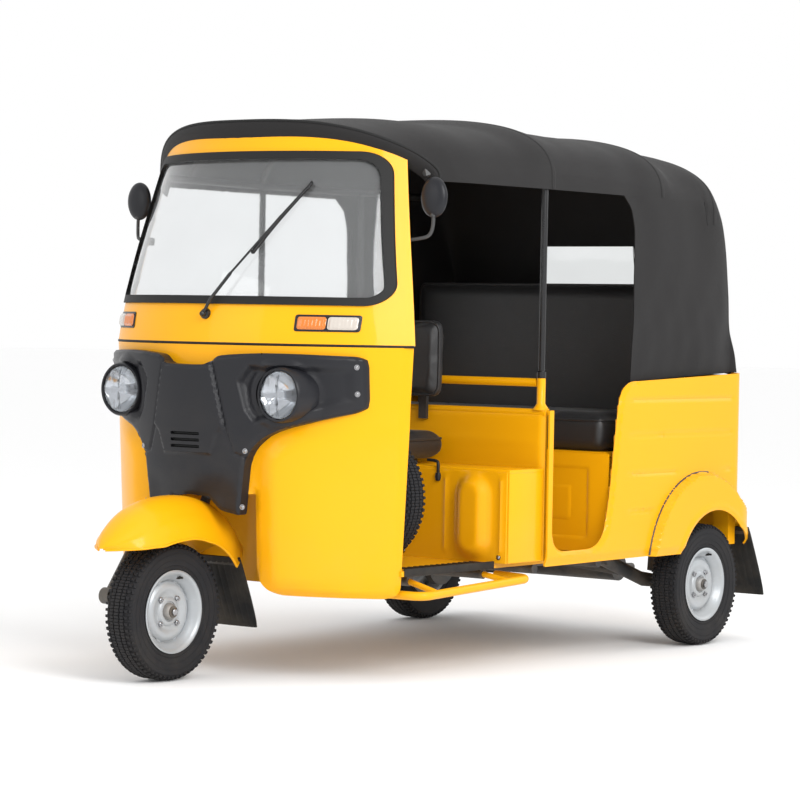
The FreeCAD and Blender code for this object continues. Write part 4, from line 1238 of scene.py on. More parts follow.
@dataclass
class Headlamps(Maker):
    """Two round lamps with fluted lenses over deep reflectors.

    Attributes:
        face: Station of a lens's edge behind the front axle.
        radius: Radius of a lens.
    """

    face: float = 0.137
    radius: float = 0.071

    X = 0.311
    Z = 0.842

    def build(self) -> None:
        """Build both lamps."""
        for name, side in SIDES:
            at = (side * self.X, station(self.face), self.Z)
            shape = Shape()
            bulb = [(0.0, -0.012), (0.009, -0.014), (0.011, -0.02), (0.011, -0.05)]
            shade = [(0.0, -0.006), (0.016, -0.009), (0.018, -0.014)]
            for profile, steps, coat in (
                (self._bezel(), 64, 0), (self._bowl(), 64, 1), (bulb, 20, 2), (shade, 28, 1)
            ):
                shape.add(turned(profile, at, (0, -1, 0), steps), coat)
            self.shop.piece(
                f"headlamp_{name}", shape, [Coat.BLACK_PLASTIC, Coat.MIRROR, Coat.BRIGHT],
                stands_for=["headlamps"] if side == 1 else []
            )
            lens = turned(self._lens(), at, (0, -1, 0), 96)
            self._flute(lens, at)
            self.shop.piece(f"headlamp_lens_{name}", lens, [Coat.LENS])

    def _bezel(self) -> Points:
        """Return the profile of the ring around a lens."""
        r = self.radius
        return (
            (r - 0.002, -0.020), (r - 0.001, 0.000), (r + 0.001, 0.004), (r + 0.006, 0.004),
            (r + 0.010, -0.002), (r + 0.012, -0.085)
        )

    def _bowl(self) -> Points:
        """Return the profile of the reflector."""
        r = self.radius - 0.003
        shares = (0.0, 0.15, 0.3, 0.5, 0.7, 0.9, 1.0)
        return [(r * share, -0.052 + 0.050 * share**2) for share in shares]

    def _lens(self) -> Points:
        """Return the profile of the lens, inside and outside."""
        r = self.radius - 0.001
        shares = [index / 10 for index in range(11)]
        outside = [(r * s, 0.012 - 0.012 * s**2.2) for s in shares]
        inside = [(r * s, 0.009 - 0.012 * s**2.2) for s in reversed(shares)]
        return outside + inside

    def _flute(self, lens: bmesh.types.BMesh, at: Sequence[float]) -> None:
        """Press upright flutes in the inside of a lens."""
        for vert in lens.verts:
            across = vert.co.x - at[0]
            inner = vert.co.y - at[1] > -0.0105 + 0.012 * (
                math.hypot(across, vert.co.z - at[2]) / self.radius
            ) ** 2.2
            if inner:
                vert.co.y += 0.0008 * math.cos(across * 900.0)


@dataclass
class Indicators(Maker):
    """The amber and clear lamps on the belt band.

    Attributes:
        low: Level of the lower edge.
        high: Level of the upper edge.
    """

    low: float = 1.0275
    high: float = 1.0765

    def build(self) -> None:
        """Build both lamps."""
        skin = CabSkin()
        for name, side in SIDES:
            shape = Shape()
            for finish, (near, far), height in (
                (0, (0.313, 0.472), 0.005), (1, (0.320, 0.392), 0.011), (2, (0.396, 0.465), 0.011)
            ):
                inset = 0.0 if finish == 0 else 0.006
                box = rectangle(near, self.low + inset, far, self.high - inset, 0.007)
                outline = box if side == 1 else flipped(box)
                middle = side * (near + far) / 2

                def relief(x: float, z: float) -> float:
                    """Return the height of one lens with its ribs."""
                    edge = min(
                        (far - near) / 2 - abs(x - middle), z - self.low - inset, self.high - inset - z
                    )
                    rib = 0.0009 * math.cos(x * 700.0) if finish else 0.0
                    return height * (0.55 + 0.45 * smooth(edge / 0.008)) + rib

                plate = Plate(outline, skin, 0.003, height * 0.5, relief=relief)
                shape.add(plate.build(), finish)
            self.shop.piece(
                f"indicator_{name}", shape, [Coat.BLACK_PLASTIC, Coat.AMBER, Coat.PALE_LENS],
                stands_for=["front_indicators"] if side == 1 else []
            )


# ---- Hood ----


@dataclass
class Hood(Maker):
    """The folding cover: one stretched sheet over four bows, with its seams.

    Attributes:
        roof: Level of the highest point.
        hem: Level of the edge over the doorways.
        thick: Thickness of the coated cloth.
        sag: How far the cloth falls between the bows.
        band: Width of the padded band at the front.
        fold: Depth of the soft folds.
    """

    roof: float = 1.704
    hem: float = 1.477
    thick: float = 0.0035
    sag: float = 0.007
    band: float = 0.044
    fold: float = 0.0028

    ROWS = (
        (250, 508, 60, 300, 2.65), (430, 533, 36, 284, 2.65), (640, 580, 21, 254, 2.65),
        (960, 597, 14, 224, 2.7), (1090, 597, 0, 214, 2.75), (1250, 597, 11, 219, 2.75),
        (1640, 597, 18, 229, 2.75), (1740, 597, 21, 239, 2.75), (1820, 597, 40, 254, 2.6),
        (1960, 597, 43, 264, 2.6), (2050, 596, 54, 284, 2.6), (2108, 593, 98, 334, 2.5),
        (2138, 588, 156, 384, 2.4), (2158, 583, 218, 434, 2.3), (2178, 578, 318, 524, 2.2),
        (2200, 575, 464, 664, 2.2), (2226, 585, 660, 760, 2.2), (2238, 588, 764, 820, 2.2)
    )
    DOOR = ((0.8200, 1.548), (1.1430, 1.572), (1.3520, 1.568), (1.4300, 1.548), (1.4770, 1.500))
    BOWS = (0.700, 1.090, 1.715, 2.035)
    DOOR_AT = 1.500
    BACK_HEM = 1.4
    START = 0.25
    FULL = 0.64
    PROUD = 0.016
    WINDOW = (0.19, 1.188, 1.336)
    BACK = 2.1
    FLAT = 1.98

    def __post_init__(self) -> None:
        """Measure the profile along the roof and down the back."""
        rows = [[value / 1000 for value in row[:4]] + [row[4]] for row in self.ROWS]
        lengths = [0.0]
        for a, b in zip(rows, rows[1:]):
            lengths.append(lengths[-1] + math.hypot(b[0] - a[0], b[2] - a[2]))
        self.length = lengths[-1]
        self.profile = curve_through([[w, *row] for w, row in zip(lengths, rows)])
        self.door_edge = curve_through(self.DOOR)
        self.section = curve_through([[row[0], *row] for row in rows])
        self.along = curve_through([[row[0], w] for w, row in zip(lengths, rows)])
        self.door_share = self.along(self.DOOR_AT)[1] / self.length

    def split(self, s: float, low: float, top: float) -> float:
        """Return the level that parts the roof from the sides."""
        if s <= self.DOOR_AT + 0.1:
            return self.hem
        hem = self.hem if s < 0.5 + self.DOOR_AT else self.BACK_HEM
        return min(hem, low + 0.35 * (top - low))

    def folds(self, s: float, z: float) -> float:
        """Return the soft folds' depth, which fade towards the front."""
        wide = math.sin(11.0 * s + 9.0 * z + 1.3 * math.sin(6.0 * s))
        fine = math.sin(31.0 * s - 15.0 * z + 2.0 * math.sin(9.0 * z))
        hang = math.sin(52.0 * s + 3.0 * math.sin(11.0 * z)) * between(1.25, 0.90, z)
        rise = 0.5 + 0.5 * between(self.roof, self.roof - 0.25, z)
        fold = self.fold * (0.55 * wide + 0.35 * fine + 0.45 * hang)
        return fold * rise * between(0.6, 1.0, s)

    def press(self, s: float, share: float) -> float:
        """Return how far the cloth lies inside the bows' line."""
        height = 0.0
        for bow in self.BOWS:
            height = max(height, 1.0 - smooth(abs(s - bow) / 0.17))
        fall = self.sag * (1.0 - height) * between(0.30, 0.55, s)
        crown = between(0.02, 0.2, share)
        return fall * (0.55 + 0.45 * crown)

    def roof_point(self, across: float, along: float, lift: float = 0.0) -> Vector:
        """Return a point of the roof.

        Args:
            across: 0 at the right edge to 1 at the left edge.
            along: 0 at the front to 1 at the bottom of the back.
            lift: Height over the cloth.
        """
        turn = abs(2.0 * across - 1.0)
        _, s, half, crown, side, square = self.profile(along * self.length)
        nominal, x, z = s, 0.0, self.roof
        for _ in range(4):
            top, low = self.roof - crown, self.roof - side
            edge = self.split(s, low, top)
            rise = min(1.0, max(0.0, (edge - low) / (top - low)))
            last = math.asin(rise ** (square / 2.0))
            angle = math.pi / 2 - (math.pi / 2 - last) * turn**0.92
            level = low + (top - low) * math.sin(angle) ** (2 / square)
            inside = self.press(s, 1.0 - turn) + self.folds(s, level) - lift
            x = (half - inside) * max(math.cos(angle), 0.0) ** (2 / square)
            z = low + (top - inside - low) * math.sin(angle) ** (2 / square)
            if edge < low and turn > 0.97:
                z = low - (low - edge) * (turn - 0.97) / 0.03
            if nominal > self.FULL:
                break
            s = self._lean(nominal, x, z)
            _, _, half, crown, side, square = self.section(s)
        side_way = -1.0 if across < 0.5 else 1.0
        return Vector((side_way * x, station(s), z))

    def _lean(self, nominal: float, x: float, z: float) -> float:
        """Return the station of a point, kept just proud of the leaning cab front.

        Args:
            nominal: Station of the section in a straight hood.
            x: Distance from the centre plane.
            z: Level.
        """
        nose, half, edge = CabSkin().row(max(z, 1.3))
        radius = (half**2 + (edge - nose) ** 2) / (2 * (edge - nose)) + self.PROUD
        front = nose - self.PROUD + radius - math.sqrt(max(radius**2 - x**2, 1e-6))
        share = (nominal - self.START) / (self.FULL - self.START)
        return front + (self.FULL - front) * share

    def side_point(self, down: float, along: float) -> Vector:
        """Return a point of the left side below the roof.

        Args:
            down: 0 at the roof's edge to 1 at the lower hem.
            along: 0 at the doorway to 1 at the middle of the back's foot.
        """
        share = self.door_share + (1.0 - self.door_share) * along
        _, s, half, crown, side, square = self.profile(share * self.length)
        top, low = self.roof - crown, self.roof - side
        edge = self.split(s, low, top)
        foot = 0.883 + (0.910 - 0.883) * max(0.0, s - self.DOOR_AT) / 0.735
        z = edge + (min(foot, edge - 0.002) - edge) * down
        inside = self.press(s, 0.0) * (1.0 - down) + self.folds(s, z)
        rise = max(0.0, (z - low) / (top - low))
        angle = math.asin(min(1.0, rise ** (square / 2.0)))
        x = (half - inside) * math.cos(angle) ** (2 / square)
        if s < self.BACK:
            s += (self.door_edge(z)[1] - self.DOOR_AT) * (1.0 - between(self.DOOR_AT, self.BACK, s))
        return Vector((x, station(s), z))

    def build(self) -> None:
        """Build the cloth, its seams and its band."""
        sides = Shape().add(surface(40, 70, self.side_point)).mirrored().whole
        bm = Shape().add(surface(72, 150, self.roof_point)).add(sides).whole
        outward(bm, 0.0015)
        top = max(bm.faces, key=lambda f: f.calc_center_median().z)
        if top.normal.z < 0:
            reverse(bm)
        self._window(bm)
        area = sum(face.calc_area() for face in bm.faces)
        thicken(bm, self.thick)
        cloth = self.shop.piece("hood_cloth", bm, [Coat.HOOD], stands_for=["hood"])
        self._seams()
        self._band()

    def _window(self, bm: bmesh.types.BMesh) -> None:
        """Open the rear window in the cloth."""
        half, low, high = self.WINDOW
        across, up = (1, 0, 0), (0, 0, 1)
        for plane, normal in (
            ((half, 0, 0), across), ((-half, 0, 0), across), ((0, 0, low), up), ((0, 0, high), up)
        ):
            back = [f for f in bm.faces if f.calc_center_median().y > station(self.BACK)]
            geom = {*back, *(e for f in back for e in f.edges)}
            geom |= {v for f in back for v in f.verts}
            bmesh.ops.bisect_plane(bm, geom=list(geom), dist=1e-6, plane_co=plane, plane_no=normal)
        inside = []
        for face in bm.faces:
            x, y, z = face.calc_center_median()
            if y > station(self.BACK) and abs(x) < half and low < z < high:
                inside.append(face)
        bmesh.ops.delete(bm, geom=inside, context="FACES")

    def _strip(self, along: float, width: float, height: float) -> bmesh.types.BMesh:
        """Lay a sewn strip of cloth over the roof from edge to edge."""

        def place(across: float, share: float) -> Vector:
            """Return a point of the strip."""
            rise = height * smooth(min(share, 1.0 - share) * 6.0)
            return self.roof_point(
                0.002 + across * 0.996, along + (share - 0.5) * width / self.length, rise
            )

        return surface(90, 6, place)

    def _seams(self) -> None:
        """Sew the strips over the bows."""
        shape = Shape()
        for bow in self.BOWS[1:]:
            share = self.along(bow + 0.012)[1] / self.length
            shape.add(self._strip(share, 0.022, 0.0016))
        bm = shape.whole
        for face in bm.faces:
            if face.normal.z < 0:
                face.normal_flip()
        self.shop.piece("hood_seams", shape, [Coat.HOOD])

    def _band(self) -> None:
        """Build the padded band at the front edge, with its piping."""

        def place(across: float, along: float) -> Vector:
            """Return a point of the band's face."""
            top = self.roof_point(across, 0.0)
            turn = math.pi * (0.06 + 0.5 * along)
            radial = Vector((top.x * 0.55, 0, top.z - 1.2)).normalized()
            depth = self.band * (1.0 - math.cos(turn))
            out = 0.010 * math.sin(turn * 1.6)
            return top - radial * depth - Vector((0, out - 0.002, 0))

        shape = Shape()
        face = surface(72, 8, place)
        for one in face.faces:
            if one.normal.y > 0:
                one.normal_flip()
        thicken(face, 0.004)
        shape.add(face)
        run = [self.roof_point(x / 60, 0.0, 0.001) for x in range(61)]
        shape.add(tube(run, 0.0045), 1)
        self.shop.piece("hood_band", shape, [Coat.HOOD, Coat.RUBBER])


# ---- Rear body ----


@dataclass
class SidePanel(Maker, Skin):
    """One pressed side: doorway, sill, ribs, wheel arch and its flare.

    Attributes:
        side: 1 for the left, -1 for the right.
        out: Distance of the face from the centre plane.
        corner: Radius of the rear corner.
        flare_out: How far the flare stands out.
    """

    side: int
    out: float = 0.620
    corner: float = 0.060
    flare_out: float = 0.028

    OUTLINE = (
        (1070, 312, 6), (2200, 324), (2266, 326), (2266, 909, 4), (1480, 880, 80), (1445, 664, 100),
        (1425, 506, 120), (1384, 355, 90), (1104, 355, 80), (1104, 795), (1070, 795)
    )
    ARCH = (2.020, 0.228, 0.224)
    FLARE = (1.962, 0.264, 0.315)
    RIBS = (0.823, 0.710, 0.585, 0.463)
    TAIL = 2.235

    def lay(self, s: float, z: float, height: float) -> Vector:
        """Return the place of a flat point, wrapped round the rear corner."""
        start = self.TAIL - self.corner
        if s <= start:
            return Vector((self.side * (self.out + height), station(s), z))
        turn = min((s - start) / self.corner, math.pi / 2)
        radius = self.corner + height
        x = self.out - self.corner + radius * math.cos(turn)
        reach = (radius + 0.9 * max(height, 0.0)) * math.sin(turn)
        return Vector((self.side * x, station(start + reach), z))

    def relief(self, s: float, z: float) -> float:
        """Return the height of the pressing."""
        height = 0.0
        if s > 1.48:
            near = between(1.50, 1.56, s) * between(0.02, 0.05, self.flare_gap(s, z))
            near *= 1.0 - between(self.TAIL - 0.10, self.TAIL - self.corner, s)
            for rib in self.RIBS:
                height -= 0.0045 * near * (1.0 - smooth(abs(z - rib) / 0.009))
        gap = self.flare_gap(s, z)
        height += self.flare_out * smooth(-gap / 0.009)
        reach = math.hypot(s - self.ARCH[0], z - self.ARCH[1]) - self.ARCH[2]
        height += 0.004 * (1.0 - smooth(abs(reach - 0.012) / 0.014)) * (gap < 0)
        rim = path_distance(s, z, self.rim)
        turned_in = 0.011 * (1.0 - smooth(rim / 0.012))
        sill = 0.010 * (1.0 - between(0.312, 0.345, z))
        return height - max(turned_in, sill)

    def flare_gap(self, s: float, z: float) -> float:
        """Return the distance outside the flare, negative on it."""
        return math.hypot(s - self.FLARE[0], z - self.FLARE[1]) - self.FLARE[2]

    def build(self) -> None:
        """Build the panel, with a black tube along the flare's front edge that paints the shadow line of the
        flare's step.
        """
        outline = corners(self.OUTLINE)
        door = [c for c in eased(outline) if 1.09 < c.x < 1.60 and c.z > 0.34]
        self.rim = [(c.x, c.z) for c in door]
        arch = arc(*self.ARCH, range(26, 156, 3))
        front_foot = Corner(self.ARCH[0] - 0.2075, 0.3155)
        back_foot = Corner(self.ARCH[0] + 0.2055, 0.3245)
        foot = [front_foot, *reversed(arch), back_foot]
        whole = outline[:1] + foot + outline[2:4] + door + outline[-1:]
        plate = Plate(whole, self, 0.0078, 0.006, relief=self.relief)
        name = "left" if self.side == 1 else "right"
        shape = Shape().add(plate.build())
        s, z, radius = self.FLARE
        # The black tube laid along the flare's front edge is painted shade: a dark strip standing where the
        # step at the flare's edge casts its shadow line.
        round_flare = arc(s, z, radius + 0.001, range(83, 186, 3))
        seam = [self.lay(c.x, c.z, 0.0005) for c in round_flare if c.z > 0.318]
        shape.add(tube(seam, 0.0032), 1)
        self.shop.piece(
            f"side_panel_{name}_skin", shape, [Coat.YELLOW, Coat.BLACK_STEEL],
            stands_for=[f"side_panel_{name}"]
        )


# ---- Wheels ----


@dataclass
class Wheel(Maker):
    """A treaded tyre on a two-piece steel rim with its hub, nuts and valve.

    Attributes:
        name: Its name, and its body's.
        centre: Middle of the wheel.
        out: 1 if its outer face looks to the left, -1 to the right.
        stands_for: The CAD tyre and rim.
        body: The body that it rides on.
        radius: Radius over the tread.
        width: Width over the walls.
        bead: Radius of the rim's edge.
        pitch: Tread blocks in one turn.
        hub: Whether a bearing cap and an axle nut are fitted.
        turn: Turn about the upright through its centre, in degrees.
    """

    name: str
    centre: tuple[float, float, float]
    out: int
    stands_for: tuple[str, str]
    body: str
    radius: float = 0.203
    width: float = 0.100
    bead: float = 0.117
    pitch: int = 66
    hub: bool = True
    turn: float = 0.0

    def build(self) -> None:
        """Build the tyre and the rim."""
        way = (self.out, 0, 0)
        tyre = Shape().add(self._carcass(way)).add(self._bands(way), 0)
        self._swing(tyre)
        self.shop.piece(f"{self.name}_tread", tyre, [Coat.TYRE], self.body, [self.stands_for[0]], 28)
        rim = Shape()
        rim.add(turned(self._rim(), self.centre, way, 96), 0)
        self._fittings(rim, way)
        self._swing(rim)
        coats = [Coat.SILVER, Coat.BRIGHT, Coat.RUBBER, Coat.CAST]
        self.shop.piece(f"{self.name}_disc", rim, coats, self.body, [self.stands_for[1]])

    def _swing(self, shape: Shape) -> None:
        """Turn the wheel about the upright through its centre."""
        middle = Matrix.Translation(self.centre)
        turn = Matrix.Rotation(math.radians(self.turn), 4, "Z")
        matrix = middle @ turn @ middle.inverted()
        move(shape.whole, matrix)

    def _carcass(self, way: Sequence[float]) -> bmesh.types.BMesh:
        """Turn the tyre's section and raise the tread's blocks.

        Args:
            way: Direction of the outer face.

        Returns:
            The tyre.
        """
        r, half = self.radius - 0.0065, self.width / 2
        wall = [
            (self.bead - 0.004, 0.034), (self.bead + 0.006, 0.040), (self.bead + 0.014, 0.0425),
            (self.bead + 0.017, 0.0410), (self.bead + 0.020, 0.0440), (0.164, 0.0495), (0.176, half),
            (0.184, 0.0492)
        ]
        shoulder = [(r - 0.009, 0.0462), (r - 0.0035, 0.0405)]
        crown = [(r - 0.0016, 0.0290), (r - 0.0012, 0.0262), (r - 0.0002, 0.0120), (r, 0.0092)]
        outer = wall + shoulder + crown
        inner = [(rad, -h) for rad, h in reversed(outer)]
        liner = [(self.bead + 0.004, -0.030), (0.165, -0.040), (0.190, 0.0), (0.165, 0.040)]
        profile = outer + inner + liner + [(self.bead + 0.004, 0.030), outer[0]]
        bm = turned(profile, (0, 0, 0), (0, 0, 1), self.pitch * 2)
        self._blocks(bm)
        turn = Vector(way).to_track_quat("Z", "Y").to_matrix().to_4x4()
        matrix = Matrix.Translation(self.centre) @ turn
        move(bm, matrix)
        return bm

    def _blocks(self, bm: bmesh.types.BMesh) -> None:
        """Wave the tread's grooves and raise its blocks."""
        step = math.tau / (self.pitch * 2)
        for vert in bm.verts:
            radius = math.hypot(vert.co.x, vert.co.y)
            if radius > self.radius - 0.012 and abs(vert.co.z) < 0.031:
                index = round(math.atan2(vert.co.y, vert.co.x) / step)
                vert.co.z += 0.0017 if index % 2 else -0.0017
        rows: dict[bool, list[bmesh.types.BMFace]] = {True: [], False: []}
        for face in bm.faces:
            middle = face.calc_center_median()
            radius = math.hypot(middle.x, middle.y)
            high = abs(middle.z)
            outside = face.normal.dot(Vector((middle.x, middle.y, 0))) > 0
            index = math.floor(math.atan2(middle.y, middle.x) / step + 0.25)
            if radius < self.radius - 0.020 or not outside:
                continue
            if 0.0125 < high < 0.026 or high < 0.008:
                rows[False].append(face)
            elif 0.030 < high < 0.0475 and index % 2 == 0:
                rows[True].append(face)
        for shoulder, faces in rows.items():
            bmesh.ops.inset_individual(
                bm, faces=faces, thickness=0.0011 if shoulder else 0.0009,
                depth=0.0062 if shoulder else 0.0050, use_even_offset=True
            )

    def _bands(self, way: Sequence[float]) -> bmesh.types.BMesh:
        """Return the thin raised rings on the outer wall."""
        bm = Shape()
        for radius, height in ((0.151, 0.0470), (0.170, 0.0500)):
            base, top = height - 0.002, height + 0.0006
            ring = [
                (radius - 0.0014, base), (radius - 0.0008, top), (radius + 0.0008, top),
                (radius + 0.0014, base)
            ]
            bm.add(turned(ring, self.centre, way, 96))
        return bm.whole

    def _rim(self) -> Points:
        """Return the section of the rim and its dished disc, from the outer edge in."""
        b = self.bead
        return (
            (b - 0.006, -0.036), (b + 0.002, -0.041), (b + 0.003, -0.038), (b - 0.004, -0.032),
            (b - 0.012, -0.026), (b - 0.020, 0.000), (b - 0.012, 0.026), (b - 0.004, 0.034),
            (b + 0.004, 0.0405), (b + 0.005, 0.0435), (b + 0.001, 0.0450), (b - 0.005, 0.0430),
            (b - 0.010, 0.0370), (b - 0.016, 0.0290), (b - 0.022, 0.0230), (b - 0.026, 0.0120),
            (b - 0.031, 0.0100), (0.088, 0.0140), (0.080, 0.0215), (0.074, 0.0235), (0.060, 0.0220),
            (0.056, 0.0190), (0.044, 0.0190), (0.041, 0.0230), (0.036, 0.0250), (0.030, 0.0250),
            (0.028, 0.0220), (0.0, 0.0220)
        )

    def _ring(self, count: int, radius: float, out: float) -> list[tuple[float, float, float]]:
        """Return even places round the axle, at a distance outside the wheel's middle."""
        x, y, z = self.centre
        turns = [math.radians(360 / count * (index + 0.5)) for index in range(count)]
        return [
            (x + self.out * out, y + radius * math.cos(turn), z + radius * math.sin(turn)) for turn in turns
        ]

    def _fittings(self, rim: Shape, way: Sequence[float]) -> None:
        """Add the nuts, the cap, the vents' lips and the valve.

        Args:
            rim: The rim in the making.
            way: Direction of the outer face.
        """
        x, y, z = self.centre
        stud = [(0.0, 0.013), (0.0038, 0.012), (0.0044, 0.006)]
        for spot in self._ring(4, 0.050, 0.0195):
            rim.add(hex_bolt(spot, way, 0.0085), 1)
            rim.add(turned(stud, spot, way, 10), 1)
        cap = [(0.0, 0.040), (0.013, 0.040), (0.020, 0.037), (0.024, 0.030), (0.026, 0.022), (0.030, 0.020)]
        if self.hub:
            rim.add(turned(cap, self.centre, way, 36), 3)
            rim.add(hex_bolt((x + self.out * 0.039, y, z), way, 0.0115), 1)
        lip = [(0.0, 0.0005), (0.0062, 0.0010), (0.0074, 0.0022), (0.0088, -0.001)]
        for spot in self._ring(8, 0.090, 0.0125):
            rim.add(turned(lip, spot, way, 16), 0)
        stem = (x + self.out * 0.022, y + 0.030, z + 0.098)
        valve = [(0.0, 0.026), (0.0032, 0.0255), (0.0036, 0.016), (0.0048, 0.014), (0.0055, -0.004)]
        rim.add(turned(valve, stem, way, 12), 2)


# ---- Seats ----


@dataclass
class Cushion(Maker):
    """A stuffed seat or backrest in coated cloth, with piping along its seams.

    Attributes:
        name: Its name.
        node: The CAD node that it replaces.
        edge: Radius of its edges before it is stuffed.
        crown: How far its widest faces swell.
        channels: Places of sewn channels across its longest side, as shares.
        cap: How far a point may move while it is stuffed.
        pleats: Gathers across its width.
    """

    name: str
    node: str
    edge: float = 0.022
    crown: float = 0.010
    channels: tuple[float, ...] = ()
    cap: float = 0.012
    pleats: int = 0

    FRAMES = 20

    def build(self) -> None:
        """Stuff the cushion, sew its channels and run its piping."""
        low, high = (Vector(corner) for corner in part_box(self.node))
        inset = Vector((0.006, 0.006, 0.006))
        low, high = low + inset, high - inset
        bm = block(low, high, self.edge)
        mesh = bpy.data.meshes.new(self.name)
        bm.to_mesh(mesh)
        bm.free()
        pad = linked(self.name, mesh)
        self._remesh(pad)
        self._stuff(pad)
        self._shape(pad, low, high)
        for face in pad.data.polygons:
            face.use_smooth = True
        pad.data.materials.append(self.shop.finishes.get(Coat.SEAT))
        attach(pad, "chassis")
        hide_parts(self.node)
        self._piping(pad, low, high)
        LOG.info("%s: %d faces", self.name, len(pad.data.polygons))

    def _remesh(self, pad: bpy.types.Object) -> None:
        """Turn the block into an even mesh."""
        grid = pad.modifiers.new("grid", "REMESH")
        grid.mode = "VOXEL"
        grid.voxel_size = 0.012 if max(pad.dimensions) > 0.8 else 0.008
        self._apply(pad)

    def _apply(self, pad: bpy.types.Object) -> None:
        """Put the modifiers' result in the mesh and remove them."""
        graph = bpy.context.evaluated_depsgraph_get()
        done = bpy.data.meshes.new_from_object(pad.evaluated_get(graph))
        pad.modifiers.clear()
        pad.data = done

    def _stuff(self, pad: bpy.types.Object) -> None:
        """Blow the cover up by cloth simulation, within the cap."""
        before = [vert.co.copy() for vert in pad.data.vertices]
        cloth = pad.modifiers.new("stuffing", "CLOTH")
        settings = cloth.settings
        settings.quality = 5
        settings.use_pressure = True
        settings.uniform_pressure_force = 4.0
        settings.effector_weights.gravity = 0.0
        settings.tension_stiffness = 12.0
        settings.compression_stiffness = 12.0
        settings.bending_stiffness = 1.5
        cloth.point_cache.frame_start = 1
        cloth.point_cache.frame_end = self.FRAMES
        scene = bpy.context.scene
        for number in range(1, self.FRAMES + 1):
            scene.frame_set(number)
        self._apply(pad)
        scene.frame_set(1)
        for vert, old in zip(pad.data.vertices, before):
            shift = vert.co - old
            if shift.length > self.cap:
                vert.co = old + shift.normalized() * self.cap

    def _shape(self, pad: bpy.types.Object, low: Vector, high: Vector) -> None:
        """Crown the faces a little and press the sewn channels.

        Args:
            pad: The cushion.
            low: Its block's lowest corner.
            high: Its block's highest corner.
        """
        size = high - low
        thin = min(range(3), key=lambda axis: size[axis])
        long = max(range(3), key=lambda axis: size[axis])
        middle = (low + high) / 2
        for vert in pad.data.vertices:
            swell = 1.0
            for axis in range(3):
                if axis != thin:
                    share = (vert.co[axis] - middle[axis]) / (size[axis] / 2)
                    swell *= max(0.0, 1.0 - abs(share) ** 2.5)
            way = 1.0 if vert.co[thin] > middle[thin] else -1.0
            if way < 0 and thin == 2:
                continue
            press = 0.0
            for share in self.channels:
                place = low[long] + size[long] * share
                press += 0.009 * (1.0 - smooth(abs(vert.co[long] - place) / 0.022))
            side = (vert.co[long] - middle[long]) / size[long]
            press += 0.0035 * self.pleats_at(side, vert.co.z)
            vert.co[thin] += way * (self.crown * swell - press * swell**0.3)
            vert.co[thin] = min(max(vert.co[thin], low[thin] - 0.008), high[thin] + 0.012)

    def pleats_at(self, side: float, level: float) -> float:
        """Return the depth, 0 to 1, of the gathers at a share of the width."""
        if not self.pleats:
            return 0.0
        lean = 0.06 * math.sin(level * 21.0)
        return 0.5 + 0.5 * math.cos(math.tau * self.pleats * (side + lean))

    def _piping(self, pad: bpy.types.Object, low: Vector, high: Vector) -> None:
        """Run a piped seam round the cushion's front face.

        Args:
            pad: The cushion.
            low: Its block's lowest corner.
            high: Its block's highest corner.
        """
        size = high - low
        thin = min(range(3), key=lambda axis: size[axis])
        first, second = [axis for axis in range(3) if axis != thin]
        level = high[thin] - 0.010 if thin == 2 else low[thin] + 0.010
        inset, run = 0.004, []
        verts = [vert.co for vert in pad.data.vertices]
        cover = BVHTree.FromPolygons(verts, [p.vertices[:] for p in pad.data.polygons])
        r = self.edge * 1.5
        for cx, cy, start in (
            (high[first] - r, high[second] - r, 0), (low[first] + r, high[second] - r, 90),
            (low[first] + r, low[second] + r, 180), (high[first] - r, low[second] + r, 270)
        ):
            for step in range(0, 91, 15):
                angle = math.radians(start + step)
                spot = [0.0, 0.0, 0.0]
                spot[first] = cx + (r - inset) * math.cos(angle)
                spot[second] = cy + (r - inset) * math.sin(angle)
                spot[thin] = level
                near, normal = cover.find_nearest(Vector(spot))[:2]
                run.append(tuple(near + normal * 0.0012))
        bm = tube(run, 0.0042, closed=True)
        piece = self.shop.piece(f"{self.name}_piping", bm, [Coat.SEAT])


# ---- Cabin ----


@dataclass
class CrossSkin(Skin):
    """An upright plane across the vehicle.

    Attributes:
        y: Its place along Y.
        facing: -1 if it looks forward, 1 if it looks to the rear.
    """

    y: float
    facing: int = -1

    def lay(self, x: float, z: float, height: float) -> Vector:
        """Return the place on the plane of a flat point raised by a height."""
        return Vector((x, self.y + self.facing * height, z))


def bead(distance: float, width: float, height: float) -> float:
    """Return the height of a pressed bead at a distance from its line."""
    return height * (1.0 - smooth(abs(distance) / width))


